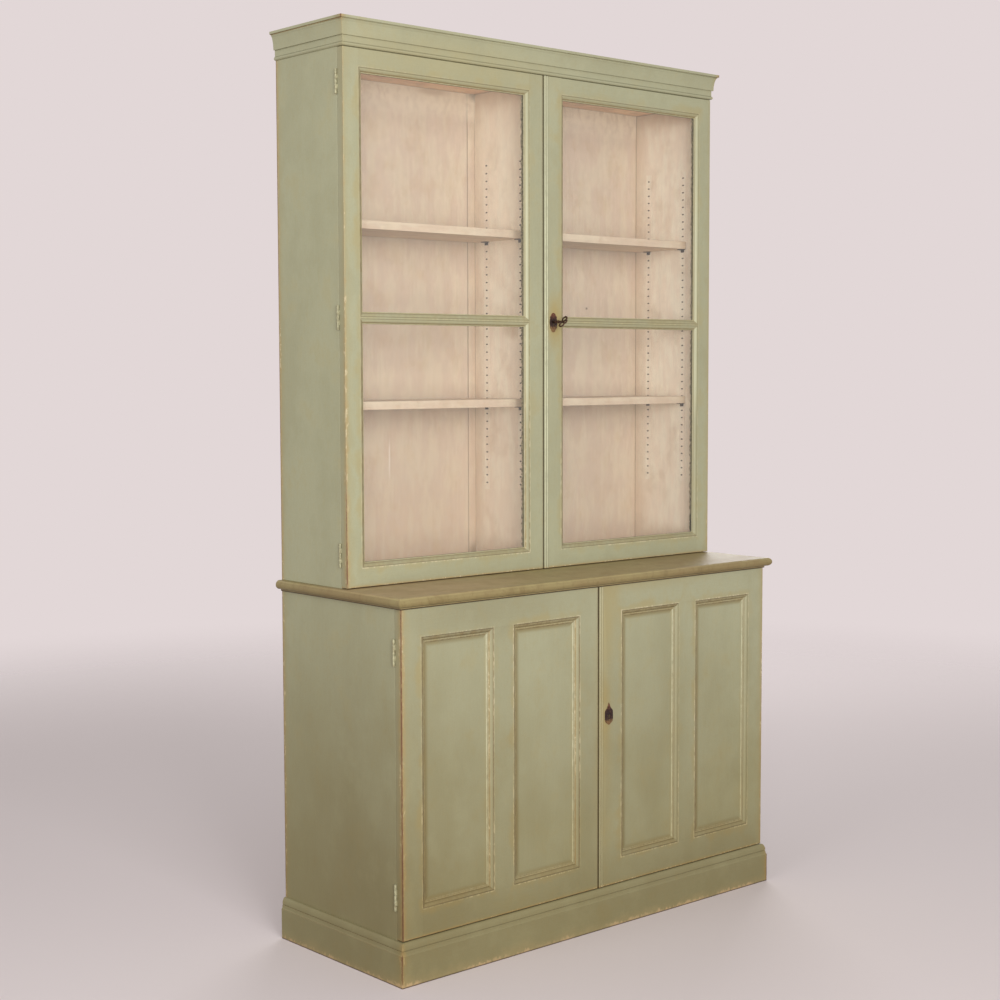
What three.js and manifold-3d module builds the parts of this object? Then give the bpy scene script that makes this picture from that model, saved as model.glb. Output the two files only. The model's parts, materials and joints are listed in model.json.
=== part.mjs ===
// A painted two-part bookcase: a glazed upper case with adjustable shelves, on a cupboard with
// panelled doors.
// Millimetres, +Z up. The front faces -Y. The origin is on the floor, at the middle of the footprint.

import * as THREE from 'three';
import { mergeVertices } from 'three/addons/utils/BufferGeometryUtils.js';
import Module from 'manifold-3d';

const wasm = await Module();
wasm.setup();

// Overall sizes. Depths run from the back of the case to the faces of the doors.
const totalHeight = 2200;
const caseWidth = 1244;
const lowerDepth = 468;
const upperDepth = 268;
const worktopHeight = 890;

// Boards
const sideThickness = 24;
const boardThickness = 20;
const backThickness = 10;
const housingDepth = 6;
const coverStripWidth = 24;
const coverStripThickness = 4;

// Clearance between fitted pieces, and how far a cut runs past a face
const fit = 0.25;
const overrun = 1;
const weldTolerance = 1e-5;

// Steps in a quarter of a round moulding, and sides of a small round part
const arcSteps = 5;
const roundSides = 10;

// Worktop: a bullnosed board with a thin fillet under it
const worktopThickness = 22;
const worktopOverhang = 18;
const worktopFilletHeight = 5;
const worktopFilletProjection = 3;

// Plinth: a board with a cavetto, a quirk and an ovolo along its top edge
const plinthHeight = 102;
const plinthProjection = 12.5;
const plinthMouldingHeight = 28;
const plinthCavettoHeight = 10;
const plinthCavettoProjection = 3;
const plinthQuirk = 1.5;
const plinthTopProjection = 1.5;

// Cornice: a bead, a flat band, a cove and a fillet, counted up from the tops of the doors
const corniceHeight = 66;
const corniceProjection = 17;
const corniceBeadHeight = 9;
const corniceBeadProjection = 5;
const corniceBandHeight = 15;
const corniceBandProjection = 2;
const corniceCoveProjection = 6;
const corniceCoveLip = 1;
const corniceFilletHeight = 6;
const corniceTopMargin = 10;

// Upper case shelves, from the worktop up and from the ceiling down, with the clips that they rest on
const lowShelfRise = 414;
const highShelfDrop = 384;
const shelfSetback = 41;
const clipLength = 20;
const clipReach = 12;
const clipThickness = 3;
const rearPegRow = 60;
const frontPegRow = 191;
const pegStripWidth = 19;
const pegStripDepth = 3;
const pegStripRise = 195;
const pegStripDrop = 170;
const ceilingDrop = 85;

// Lower case
const lowerFloorTop = 118;
const cupboardShelfTop = 500;
const cupboardShelfSetback = 60;

// Doors. The gap is between a closed door and the case behind it.
const doorThickness = 22;
const doorGap = 1;
const meetingGap = 4;
const doorTopClearance = 2;
const upperDoorBottomClearance = 2;
const lowerDoorBottomClearance = 1.5;
const lowerDoorTopClearance = 1;
const glassThickness = 3;
const panelThickness = 8;

const upperDoor = {
  hangingStile: 45,
  meetingStile: 47,
  keyedStile: 60,
  topRail: 41,
  bottomRail: 46,
  barFillet: 4,
  barHeight: 627.5,
};
const lowerDoor = {
  hangingStile: 59,
  meetingStile: 64,
  keyedStile: 79,
  topRail: 66,
  bottomRail: 65,
  muntin: 64,
};

// Moulding worked round each pane and panel: a quirk, an ovolo and a small fillet
const stickingWidth = 12;
const stickingDepth = 10;
const stickingQuirk = 1.5;
const stickingMargin = 0.5;
const stickingFillet = 2.5;

// Two reeds along the meeting edge of each right-hand door
const reedRadius = 3.5;
const reedRise = 1.5;

// Butt hinges with their barrels standing out at the sides
const hingeLeafWidth = 18;
const hingeLeafThickness = 2;
const hingeBarrelRadius = 3;
const hingePinRadius = 1.3;
const hingeBoreRadius = 1.8;
const hingePinOffset = 3.5;
const hingeKnuckles = 5;
const knuckleGap = 0.35;
const upperHingeLength = 57;
const upperHingeInset = 76;
const lowerHingeLength = 62;
const lowerHingeInset = 98;

// Locks. The inset runs from the meeting edge of the keyed door to the middle of the keyhole.
const upperLockInset = 31;
const lowerLockInset = 33;
const lowerLockHeight = 432;
const keyholeRadius = 3.2;
const keyholeSlotWidth = 3;
const keyholeSlotDrop = 9;
const keyholeDepth = 14;
const plateThickness = 1.6;
const upperPlateWidth = 26;
const upperPlateHeight = 49;
const upperPlateLobes = 8;
const lobeShare = 0.07;
const lowerPlateWidth = 28;
const lowerPlateHeight = 44;
const lowerPlateFinial = 12;
const lowerPlateFinialWidth = 7;
const lowerPlateShoulderShare = 0.25;

// Key, and the bolt that it throws
const keyShankRadius = 2.5;
const keyBowDistance = 34;
const keyBowThickness = 3;
const keyLoopRadius = 6.5;
const keyLoopHoleRadius = 3.6;
const keyLoopSpread = 8;
const keyTilt = THREE.MathUtils.degToRad(37);
const keyBitLength = 6;
const keyBitWidth = 2.5;
const lockCavityRadius = 10;
const lockCavityDepth = 8;
const boltHeight = 11;
const boltThickness = 4;
const boltThrow = 9;
const boltEdgeMargin = 0.5;

// Places that follow from the sizes above
const halfWidth = caseWidth / 2;
const innerHalf = halfWidth - sideThickness;
const backY = (lowerDepth + worktopOverhang) / 2;
const lowerCaseFront = lowerDepth - doorThickness - doorGap;
const upperCaseFront = upperDepth - doorThickness - doorGap;
const worktopUnderside = worktopHeight - worktopThickness - worktopFilletHeight;
const upperHeight = totalHeight - worktopHeight;
const corniceBottom = upperHeight - corniceHeight;
const ceiling = upperHeight - ceilingDrop;
const upperFloorTop = boardThickness;
const shelfRises = [lowShelfRise, ceiling - highShelfDrop];
const boltTail = upperLockInset - lockCavityRadius - fit;

// Colours
const paint = new THREE.MeshStandardMaterial({ color: 0xaaa585, roughness: 0.62, metalness: 0 });
const worktopPaint = new THREE.MeshStandardMaterial({ color: 0x998963, roughness: 0.6, metalness: 0 });
const cream = new THREE.MeshStandardMaterial({ color: 0xd0bca4, roughness: 0.7, metalness: 0 });
const shelfCream = new THREE.MeshStandardMaterial({ color: 0xdfcaaf, roughness: 0.65, metalness: 0 });
const glass = new THREE.MeshStandardMaterial({
  color: 0xf2f5f2,
  roughness: 0.05,
  metalness: 0,
  transparent: true,
  opacity: 0.15,
});
const bronze = new THREE.MeshStandardMaterial({ color: 0x2e2119, roughness: 0.5, metalness: 0.8 });
const paintedIron = new THREE.MeshStandardMaterial({ color: 0xaaa586, roughness: 0.55, metalness: 0.2 });

// Solids from three.js geometries
function toSolid(geometry) {
  geometry.deleteAttribute('normal');
  geometry.deleteAttribute('uv');
  const merged = mergeVertices(geometry, weldTolerance);
  return new wasm.Manifold(new wasm.Mesh({
    numProp: 3,
    vertProperties: Float32Array.from(merged.attributes.position.array),
    triVerts: Uint32Array.from(merged.index.array),
  }));
}

function toGeometry(solid) {
  const mesh = solid.getMesh();
  const geometry = new THREE.BufferGeometry();
  geometry.setAttribute('position', new THREE.BufferAttribute(mesh.vertProperties, 3));
  geometry.setIndex(new THREE.BufferAttribute(mesh.triVerts, 1));
  geometry.computeVertexNormals();
  return geometry;
}

// Moves a geometry onto three axes and an origin, and turns its faces back out if the axes mirror it
function placed(geometry, xAxis, yAxis, zAxis, origin = new THREE.Vector3()) {
  const matrix = new THREE.Matrix4().makeBasis(xAxis, yAxis, zAxis).setPosition(origin);
  const result = geometry.index ? geometry.toNonIndexed() : geometry;
  result.applyMatrix4(matrix);
  if (matrix.determinant() < 0) {
    const places = result.attributes.position;
    const first = new THREE.Vector3();
    const second = new THREE.Vector3();
    for (let i = 0; i < places.count; i += 3) {
      first.fromBufferAttribute(places, i);
      second.fromBufferAttribute(places, i + 1);
      places.setXYZ(i, second.x, second.y, second.z);
      places.setXYZ(i + 1, first.x, first.y, first.z);
    }
  }
  return result;
}

const axisX = new THREE.Vector3(1, 0, 0);
const axisY = new THREE.Vector3(0, 1, 0);
const axisZ = new THREE.Vector3(0, 0, 1);

function block(x0, x1, y0, y1, z0, z1) {
  const geometry = new THREE.BoxGeometry(Math.abs(x1 - x0), Math.abs(y1 - y0), Math.abs(z1 - z0));
  geometry.translate((x0 + x1) / 2, (y0 + y1) / 2, (z0 + z1) / 2);
  return toSolid(geometry);
}

function extruded(points, start, end) {
  const shape = points instanceof THREE.Shape ? points : new THREE.Shape(points);
  const geometry = new THREE.ExtrudeGeometry(shape, {
    depth: end - start,
    bevelEnabled: false,
    curveSegments: arcSteps,
  });
  geometry.translate(0, 0, start);
  return geometry;
}

// Outline in (y, z), run along X
function alongX(points, start, end) {
  return toSolid(placed(extruded(points, start, end), axisY, axisZ, axisX));
}

// Outline in (x, z), run along Y
function alongY(points, start, end) {
  return toSolid(placed(extruded(points, start, end), axisX, axisZ, axisY));
}

// Outline in (x, y), run along Z
function alongZ(points, start, end) {
  return toSolid(placed(extruded(points, start, end), axisX, axisY, axisZ));
}

// Points on a quarter of an ellipse about a centre, from one angle to another
function arc(centreX, centreY, radiusX, radiusY, from, to, steps = arcSteps) {
  const points = [];
  for (let i = 0; i <= steps; i += 1) {
    const angle = from + ((to - from) * i) / steps;
    points.push(new THREE.Vector2(
      centreX + radiusX * Math.cos(angle), centreY + radiusY * Math.sin(angle),
    ));
  }
  return points;
}

const quarter = Math.PI / 2;

function rod(radius, start, end, direction, x, y, sides = roundSides) {
  const circle = arc(0, 0, radius, radius, 0, 2 * Math.PI, sides).slice(0, sides);
  const moved = circle.map((point) => new THREE.Vector2(point.x + x, point.y + y));
  return direction === 'y' ? alongY(moved, start, end) : alongZ(moved, start, end);
}

// Adds a named mesh to a group
function piece(group, name, solid, material, position = new THREE.Vector3()) {
  const mesh = new THREE.Mesh(toGeometry(solid), material);
  mesh.name = name;
  mesh.position.copy(position);
  group.add(mesh);
  return mesh;
}

const bookcase = new THREE.Group();
const lowerCase = new THREE.Group();
lowerCase.position.set(0, backY, 0);
bookcase.add(lowerCase);
const upperCase = new THREE.Group();
upperCase.position.set(0, backY, worktopHeight);
bookcase.add(upperCase);

// A moulded band round the left, front and right of a case. The profile lists how far it stands out
// against its height, from the bottom up, and the ends of the band are cut square at the back.
function wrappedBand(profile, depth) {
  const top = profile[profile.length - 1].y;
  const bottom = profile[0].y;
  const across = [
    ...profile.map((point) => new THREE.Vector2(halfWidth + point.x, point.y)),
    ...[...profile].reverse().map((point) => new THREE.Vector2(-halfWidth - point.x, point.y)),
  ];
  const fore = [
    ...profile.map((point) => new THREE.Vector2(-depth - point.x, point.y)),
    new THREE.Vector2(0, top),
    new THREE.Vector2(0, bottom),
  ];
  const reach = halfWidth + depth;
  return alongY(across, -reach, reach).intersect(alongX(fore, -reach, reach));
}

// The room inside such a band, for the case that it goes round
function bandRoom(depth, bottom, top) {
  return block(-halfWidth - fit, halfWidth + fit, -depth - fit, overrun, bottom - overrun, top + overrun);
}

// Plinth
function makePlinth() {
  const mouldingBottom = plinthHeight - plinthMouldingHeight;
  const cavettoTop = mouldingBottom + plinthCavettoHeight;
  const neck = plinthProjection - plinthCavettoProjection;
  const ovoloBottom = cavettoTop + plinthQuirk;
  const ovoloHeight = plinthHeight - ovoloBottom;
  const profile = [
    new THREE.Vector2(plinthProjection, 0),
    ...arc(
      plinthProjection, cavettoTop, plinthCavettoProjection, plinthCavettoHeight, 3 * quarter, 2 * quarter,
    ),
    new THREE.Vector2(neck - plinthQuirk, cavettoTop),
    new THREE.Vector2(neck - plinthQuirk, ovoloBottom),
    ...arc(plinthTopProjection, ovoloBottom, neck - plinthTopProjection, ovoloHeight, 0, quarter),
  ];
  const band = wrappedBand(profile, lowerDepth).subtract(bandRoom(lowerCaseFront, 0, plinthHeight));
  piece(lowerCase, 'plinth', band, paint);
}

// Worktop
function makeWorktop() {
  const nose = worktopThickness / 2;
  const under = worktopUnderside;
  const boardUnderside = under + worktopFilletHeight;
  const profile = [
    new THREE.Vector2(worktopFilletProjection, under),
    new THREE.Vector2(worktopFilletProjection, boardUnderside),
    ...arc(worktopOverhang - nose, boardUnderside + nose, nose, nose, -quarter, quarter, 2 * arcSteps),
  ];
  piece(lowerCase, 'worktop', wrappedBand(profile, lowerDepth), worktopPaint);
}

// Cornice
function makeCornice() {
  const beadRadius = corniceBeadHeight / 2;
  const bandTop = corniceBeadHeight + corniceBandHeight;
  const filletBottom = corniceHeight - corniceFilletHeight;
  const coveTop = corniceProjection - corniceCoveLip;
  const profile = [
    ...arc(corniceBeadProjection - beadRadius, beadRadius, beadRadius, beadRadius, -quarter, quarter),
    new THREE.Vector2(corniceBandProjection, corniceBeadHeight),
    new THREE.Vector2(corniceBandProjection, bandTop),
    ...arc(coveTop, bandTop, coveTop - corniceCoveProjection, filletBottom - bandTop, 2 * quarter, quarter),
    new THREE.Vector2(corniceProjection, filletBottom),
    new THREE.Vector2(corniceProjection, corniceHeight),
  ];
  const band = wrappedBand(profile, upperDepth).subtract(bandRoom(upperCaseFront, 0, corniceHeight));
  piece(upperCase, 'cornice', band, paint, new THREE.Vector3(0, 0, corniceBottom));
}

// Room for one leaf of a hinge in the front edge of a case side
function leafMortise(side, caseFront, height, length) {
  return block(
    side * (halfWidth + overrun), side * (halfWidth - hingeLeafWidth - fit),
    -caseFront - overrun, -caseFront + hingeLeafThickness,
    height - length / 2 - fit, height + length / 2 + fit,
  );
}

// Heights of the hinges, in each case's own frame
const upperDoorBottom = upperDoorBottomClearance;
const upperDoorHeight = corniceBottom - doorTopClearance - upperDoorBottom;
const lowerDoorBottom = plinthHeight + lowerDoorBottomClearance;
const lowerDoorHeight = worktopUnderside - lowerDoorTopClearance - lowerDoorBottom;
const upperHinges = [
  upperDoorBottom + upperHingeInset,
  upperDoorBottom + upperDoor.barHeight,
  upperDoorBottom + upperDoorHeight - upperHingeInset,
];
const lowerHinges = [
  lowerDoorBottom + lowerHingeInset,
  lowerDoorBottom + lowerDoorHeight - lowerHingeInset,
];

// A board that is housed in both sides
function housedBoard(front, bottom, back = backThickness + fit) {
  const reach = innerHalf + housingDepth - fit;
  return block(-reach, reach, -front, -back, bottom, bottom + boardThickness);
}

function housing(side, bottom) {
  return block(
    side * (innerHalf - overrun), side * (innerHalf + housingDepth), -lowerDepth, overrun,
    bottom - fit, bottom + boardThickness + fit,
  );
}

// Groove for a strip of peg holes, in a face that looks along X
function pegGroove(faceX, inward, row) {
  return block(
    faceX - inward * overrun, faceX + inward * pegStripDepth,
    -row - pegStripWidth / 2, -row + pegStripWidth / 2,
    pegStripRise, ceiling - pegStripDrop,
  );
}

const sideNames = [[-1, 'left'], [1, 'right']];

// Lower case
function makeLowerCase() {
  const floorBottom = lowerFloorTop - boardThickness;
  const shelfBottom = cupboardShelfTop - boardThickness;
  for (const [side, name] of sideNames) {
    let board = block(side * innerHalf, side * halfWidth, -lowerCaseFront, 0, 0, worktopUnderside - fit);
    board = board.subtract(housing(side, floorBottom)).subtract(housing(side, shelfBottom));
    for (const height of lowerHinges) {
      board = board.subtract(leafMortise(side, lowerCaseFront, height, lowerHingeLength));
    }
    piece(lowerCase, `lower_${name}_side`, board, paint);
  }
  const shelfFront = lowerCaseFront - cupboardShelfSetback;
  piece(lowerCase, 'lower_floor', housedBoard(lowerCaseFront, floorBottom), cream);
  piece(lowerCase, 'cupboard_shelf', housedBoard(shelfFront, shelfBottom), cream);
  const backReach = innerHalf - fit;
  const back = block(-backReach, backReach, -backThickness, 0, 0, worktopUnderside - fit);
  piece(lowerCase, 'lower_back', back, cream);
}

// Upper case
function makeUpperCase() {
  const top = upperHeight - corniceTopMargin;
  for (const [side, name] of sideNames) {
    let board = block(side * innerHalf, side * halfWidth, -upperCaseFront, 0, fit, top);
    board = board.subtract(housing(side, ceiling)).subtract(housing(side, fit));
    for (const row of [rearPegRow, frontPegRow]) {
      board = board.subtract(pegGroove(side * innerHalf, side, row));
    }
    for (const height of upperHinges) {
      board = board.subtract(leafMortise(side, upperCaseFront, height, upperHingeLength));
    }
    piece(upperCase, `upper_${name}_side`, board, paint);
  }
  piece(upperCase, 'upper_floor', housedBoard(upperCaseFront, fit), cream);
  piece(upperCase, 'upper_top', housedBoard(upperCaseFront, ceiling), cream);

  const halfPartition = boardThickness / 2;
  const partitionFoot = upperFloorTop + 2 * fit;
  let partition = block(
    -halfPartition, halfPartition, -upperCaseFront, -backThickness - fit, partitionFoot, ceiling - fit,
  );
  for (const side of [-1, 1]) {
    for (const row of [rearPegRow, frontPegRow]) {
      partition = partition.subtract(pegGroove(side * halfPartition, -side, row));
    }
  }
  piece(upperCase, 'upper_partition', partition, cream);

  // The back, with the strip that covers the joint between its boards beside the partition
  const backReach = innerHalf - fit;
  const stripRight = -halfPartition - fit;
  const back = block(-backReach, backReach, -backThickness, 0, fit, top).add(block(
    stripRight - coverStripWidth, stripRight,
    -backThickness - coverStripThickness, -backThickness + overrun,
    partitionFoot, ceiling - fit,
  ));
  piece(upperCase, 'upper_back', back, cream);
}

// Shelves, each with the four clips that hold it in the peg strips
function makeShelves() {
  const low = boardThickness / 2 + fit;
  const high = innerHalf - fit;
  const shelfFront = upperCaseFront - shelfSetback;
  const shelfBack = backThickness + coverStripThickness + fit;
  shelfRises.forEach((rise, index) => {
    for (const [side, name] of sideNames) {
      let shelf = block(side * low, side * high, -shelfFront, -shelfBack, rise, rise + boardThickness);
      for (const row of [rearPegRow, frontPegRow]) {
        for (const [end, inward] of [[low, 1], [high, -1]]) {
          shelf = shelf.add(block(
            side * end, side * (end + inward * clipReach), -row - clipLength / 2, -row + clipLength / 2,
            rise - clipThickness, rise + overrun,
          ));
        }
      }
      piece(upperCase, `${index ? 'high' : 'low'}_shelf_${name}`, shelf, shelfCream);
    }
  });
}

// The moulding worked on one edge of an opening, mitred at both ends. It is drawn with x going into the
// opening and y going back from the face, and the ends are drawn in by the distance into the opening.
const stickingProfile = [
  new THREE.Vector2(-overrun, stickingQuirk),
  new THREE.Vector2(0, stickingQuirk),
  ...arc(
    stickingMargin, stickingDepth - stickingQuirk,
    stickingWidth - stickingFillet - stickingMargin, stickingDepth - 2 * stickingQuirk, -quarter, 0,
  ),
  new THREE.Vector2(stickingWidth, stickingDepth - stickingQuirk),
  new THREE.Vector2(stickingWidth, stickingDepth),
  new THREE.Vector2(0, stickingDepth),
  new THREE.Vector2(-overrun, stickingDepth),
];

function mitred(start, end) {
  const shape = new THREE.Shape(stickingProfile);
  const geometry = new THREE.ExtrudeGeometry(shape, { depth: 1, bevelEnabled: false });
  const places = geometry.attributes.position;
  for (let i = 0; i < places.count; i += 1) {
    const inset = Math.max(places.getX(i), 0) + fit;
    places.setZ(i, THREE.MathUtils.lerp(start + inset, end - inset, places.getZ(i)));
  }
  return geometry;
}

// Doors are drawn from the axis of their hinges: x towards the meeting edge, y back, z up from the bottom.
// The hand is 1 for a door hung on the left and -1 for a door hung on the right, which mirrors x.
const doorBack = -doorGap / 2;
const doorFace = doorBack - doorThickness;

function sticking(hand, opening, edge) {
  const { left, right, bottom, top } = opening;
  const across = axisX.clone().multiplyScalar(hand);
  const upright = edge === 'left' || edge === 'right';
  const geometry = upright ? mitred(bottom, top) : mitred(left, right);
  const inward = (upright ? across : axisZ).clone();
  if (edge === 'right' || edge === 'top') {
    inward.negate();
  }
  const origin = new THREE.Vector3(0, doorFace, 0);
  if (upright) {
    origin.addScaledVector(across, edge === 'left' ? left : right);
  } else {
    origin.addScaledVector(axisZ, edge === 'bottom' ? bottom : top);
  }
  return toSolid(placed(geometry, inward, axisY, upright ? axisZ : across, origin));
}

function doorBlock(hand, x0, x1, z0, z1, front = doorFace, back = doorBack) {
  return block(hand * x0, hand * x1, front, back, z0, z1);
}

// Two reeds along the meeting edge of a door, with a quirk beside them
function reededStile(hand, x0, x1, height) {
  const reeds = 4 * reedRadius;
  const crown = doorFace + reedRadius - reedRise;
  const edge = [2, 1].flatMap((place) => arc(
    x1 - (2 * place - 1) * reedRadius, crown, reedRadius, reedRadius, 2 * quarter, 4 * quarter,
  ));
  const outline = [
    new THREE.Vector2(x0, doorBack),
    new THREE.Vector2(x0, doorFace),
    new THREE.Vector2(x1 - reeds - stickingQuirk / 2, doorFace),
    ...edge,
    new THREE.Vector2(x1, doorBack),
  ];
  return alongZ(outline.map((point) => new THREE.Vector2(hand * point.x, point.y)), 0, height);
}

// Knuckles of one hinge, counted up from its bottom. Every other one belongs to the door.
function knuckles(middle, length, first) {
  const pitch = length / hingeKnuckles;
  const spans = [];
  for (let i = first; i < hingeKnuckles; i += 2) {
    const bottom = middle - length / 2 + i * pitch;
    spans.push([bottom + knuckleGap / 2, bottom + pitch - knuckleGap / 2]);
  }
  return spans;
}

function doorKnuckles(hand, middle, length) {
  return knuckles(middle, length, 1).map(([bottom, top]) => rod(hingeBarrelRadius, bottom, top, 'z', 0, 0)
    .add(doorBlock(hand, 0, hingePinOffset + overrun, bottom, top, doorBack - hingeLeafThickness, doorBack))
    .subtract(rod(hingeBoreRadius, bottom - overrun, top + overrun, 'z', 0, 0)));
}

// The case's half of a hinge, with its pin
function makeHinge(group, name, hand, axis, middle, length) {
  let hinge = rod(hingePinRadius, middle - length / 2, middle + length / 2, 'z', 0, 0);
  const leafFront = doorGap / 2;
  const leafBack = leafFront + hingeLeafThickness - fit;
  for (const [bottom, top] of knuckles(middle, length, 0)) {
    hinge = hinge.add(rod(hingeBarrelRadius, bottom, top, 'z', 0, 0));
    hinge = hinge.add(block(0, hand * (hingePinOffset + overrun), leafFront, leafBack, bottom, top));
  }
  hinge = hinge.add(block(
    hand * hingePinOffset, hand * (hingePinOffset + hingeLeafWidth), leafFront, leafBack,
    middle - length / 2, middle + length / 2,
  ));
  piece(group, name, hinge, paintedIron, axis);
}

// A keyhole: a round hole with a slot below it, cut back from the face of the door
function keyhole(x, z, front, back) {
  return rod(keyholeRadius, front, back, 'y', x, z).add(block(
    x - keyholeSlotWidth / 2, x + keyholeSlotWidth / 2, front, back, z - keyholeSlotDrop, z,
  ));
}

// The room for the bolt, from the meeting edge of a door
function boltRoom(hand, edge, depth, height) {
  const middle = (doorFace + doorBack) / 2;
  return doorBlock(
    hand, edge - depth, edge + overrun, height - boltHeight / 2 - fit, height + boltHeight / 2 + fit,
    middle - boltThickness / 2 - fit, middle + boltThickness / 2 + fit,
  );
}

// A door of stiles and rails. Its openings are a grid of columns and rows with the bars between them.
function makeDoor(level, name, hand, position, height, sizes, hinges, hingeLength) {
  const group = new THREE.Group();
  group.position.copy(position);
  (level === 'upper' ? upperCase : lowerCase).add(group);
  const keyed = hand < 0;
  const start = hingePinOffset;
  const end = start + halfWidth - meetingGap / 2;
  const shoulderLeft = start + sizes.hangingStile;
  const shoulderRight = end - (keyed ? sizes.keyedStile : sizes.meetingStile);
  const shoulderTop = height - sizes.topRail;
  const label = (part) => `${level}_${name}_door_${part}`;

  const whole = { left: shoulderLeft, right: shoulderRight, bottom: sizes.bottomRail, top: shoulderTop };
  const openings = [];
  if (sizes.barFillet) {
    const halfBar = sizes.barFillet / 2;
    openings.push({ ...whole, top: sizes.barHeight - halfBar });
    openings.push({ ...whole, bottom: sizes.barHeight + halfBar });
  } else {
    const panelWidth = (shoulderRight - shoulderLeft - sizes.muntin) / 2;
    openings.push({ ...whole, right: shoulderLeft + panelWidth });
    openings.push({ ...whole, left: shoulderLeft + panelWidth + sizes.muntin });
  }
  const withSticking = (solid, pairs) => pairs.reduce(
    (sum, [opening, edge]) => sum.add(sticking(hand, opening, edge)), solid,
  );
  const [first, last] = openings;
  const everyOpening = (edge) => openings.map((opening) => [opening, edge]);
  const columns = !sizes.barFillet;

  let hanging = withSticking(
    doorBlock(hand, start, shoulderLeft, 0, height), columns ? [[first, 'left']] : everyOpening('left'),
  );
  for (const middle of hinges) {
    for (const knuckle of doorKnuckles(hand, middle, hingeLength)) {
      hanging = hanging.add(knuckle);
    }
  }
  piece(group, label('hanging_stile'), hanging, paint);

  let meeting = keyed
    ? reededStile(hand, shoulderRight, end, height)
    : doorBlock(hand, shoulderRight, end, 0, height);
  meeting = withSticking(meeting, columns ? [[last, 'right']] : everyOpening('right'));
  meeting = cutLock(meeting, level, hand, end);
  piece(group, label('meeting_stile'), meeting, paint);

  const railLeft = shoulderLeft + fit;
  const railRight = shoulderRight - fit;
  piece(group, label('bottom_rail'), withSticking(
    doorBlock(hand, railLeft, railRight, 0, sizes.bottomRail),
    columns ? everyOpening('bottom') : [[first, 'bottom']],
  ), paint);
  piece(group, label('top_rail'), withSticking(
    doorBlock(hand, railLeft, railRight, shoulderTop, height),
    columns ? everyOpening('top') : [[last, 'top']],
  ), paint);

  if (columns) {
    piece(group, label('muntin'), withSticking(
      doorBlock(hand, first.right, last.left, sizes.bottomRail + fit, shoulderTop - fit),
      [[first, 'right'], [last, 'left']],
    ), paint);
  } else {
    piece(group, label('glazing_bar'), withSticking(
      doorBlock(hand, railLeft, railRight, first.top, last.bottom), [[first, 'top'], [last, 'bottom']],
    ), paint);
  }

  const fillFront = doorFace + stickingDepth + fit;
  const fillBack = fillFront + (columns ? panelThickness : glassThickness);
  const fillNames = columns ? ['outer_panel', 'inner_panel'] : ['lower_pane', 'upper_pane'];
  openings.forEach((opening, index) => {
    const fill = doorBlock(
      hand, opening.left + fit, opening.right - fit, opening.bottom + fit, opening.top - fit,
      fillFront, fillBack,
    );
    piece(group, label(fillNames[index]), fill, columns ? paint : glass);
  });
  return { group, end };
}

// Cuts the keyhole, and at the upper lock the room for the key's bit and the bolt
function cutLock(stile, level, hand, end) {
  const keyed = hand < 0;
  if (level === 'lower') {
    const x = hand * (end - lowerLockInset);
    const hole = keyhole(x, lowerLockHeight, doorFace - overrun, doorFace + keyholeDepth);
    return keyed ? stile.subtract(hole) : stile;
  }
  const height = upperDoor.barHeight;
  if (!keyed) {
    return stile.subtract(boltRoom(hand, end, boltThrow, height));
  }
  const x = hand * (end - upperLockInset);
  const middle = (doorFace + doorBack) / 2;
  const half = lockCavityDepth / 2;
  return stile
    .subtract(keyhole(x, height, doorFace - overrun, middle))
    .subtract(rod(lockCavityRadius, middle - half, middle + half, 'y', x, height))
    .subtract(boltRoom(hand, end, upperLockInset, height));
}

// A scalloped oval plate with a keyhole
function scallopedPlate() {
  const steps = upperPlateLobes * arcSteps;
  const points = [];
  for (let i = 0; i < steps; i += 1) {
    const angle = (2 * Math.PI * i) / steps;
    const swell = 1 - lobeShare * (1 - Math.cos(upperPlateLobes * angle)) / 2;
    points.push(new THREE.Vector2(
      (upperPlateWidth / 2) * swell * Math.cos(angle), (upperPlateHeight / 2) * swell * Math.sin(angle),
    ));
  }
  return points;
}

// A shield with a rounded foot and a pointed finial
function shieldPlate() {
  const half = lowerPlateWidth / 2;
  const shoulder = lowerPlateHeight * lowerPlateShoulderShare;
  const foot = -lowerPlateHeight / 2;
  const top = lowerPlateHeight / 2;
  const shape = new THREE.Shape();
  shape.moveTo(0, top + lowerPlateFinial);
  shape.lineTo(-lowerPlateFinialWidth / 2, top);
  shape.quadraticCurveTo(-half, top, -half, shoulder);
  shape.lineTo(-half, -shoulder);
  shape.quadraticCurveTo(-half, foot, 0, foot);
  shape.quadraticCurveTo(half, foot, half, -shoulder);
  shape.lineTo(half, shoulder);
  shape.quadraticCurveTo(half, top, lowerPlateFinialWidth / 2, top);
  shape.lineTo(0, top + lowerPlateFinial);
  return shape.getPoints(arcSteps).slice(0, -1);
}

function lockPlate(outline) {
  const front = doorFace - fit - plateThickness;
  const back = doorFace - fit;
  return alongY(outline, front, back).subtract(keyhole(0, 0, front - overrun, back + overrun));
}

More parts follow.
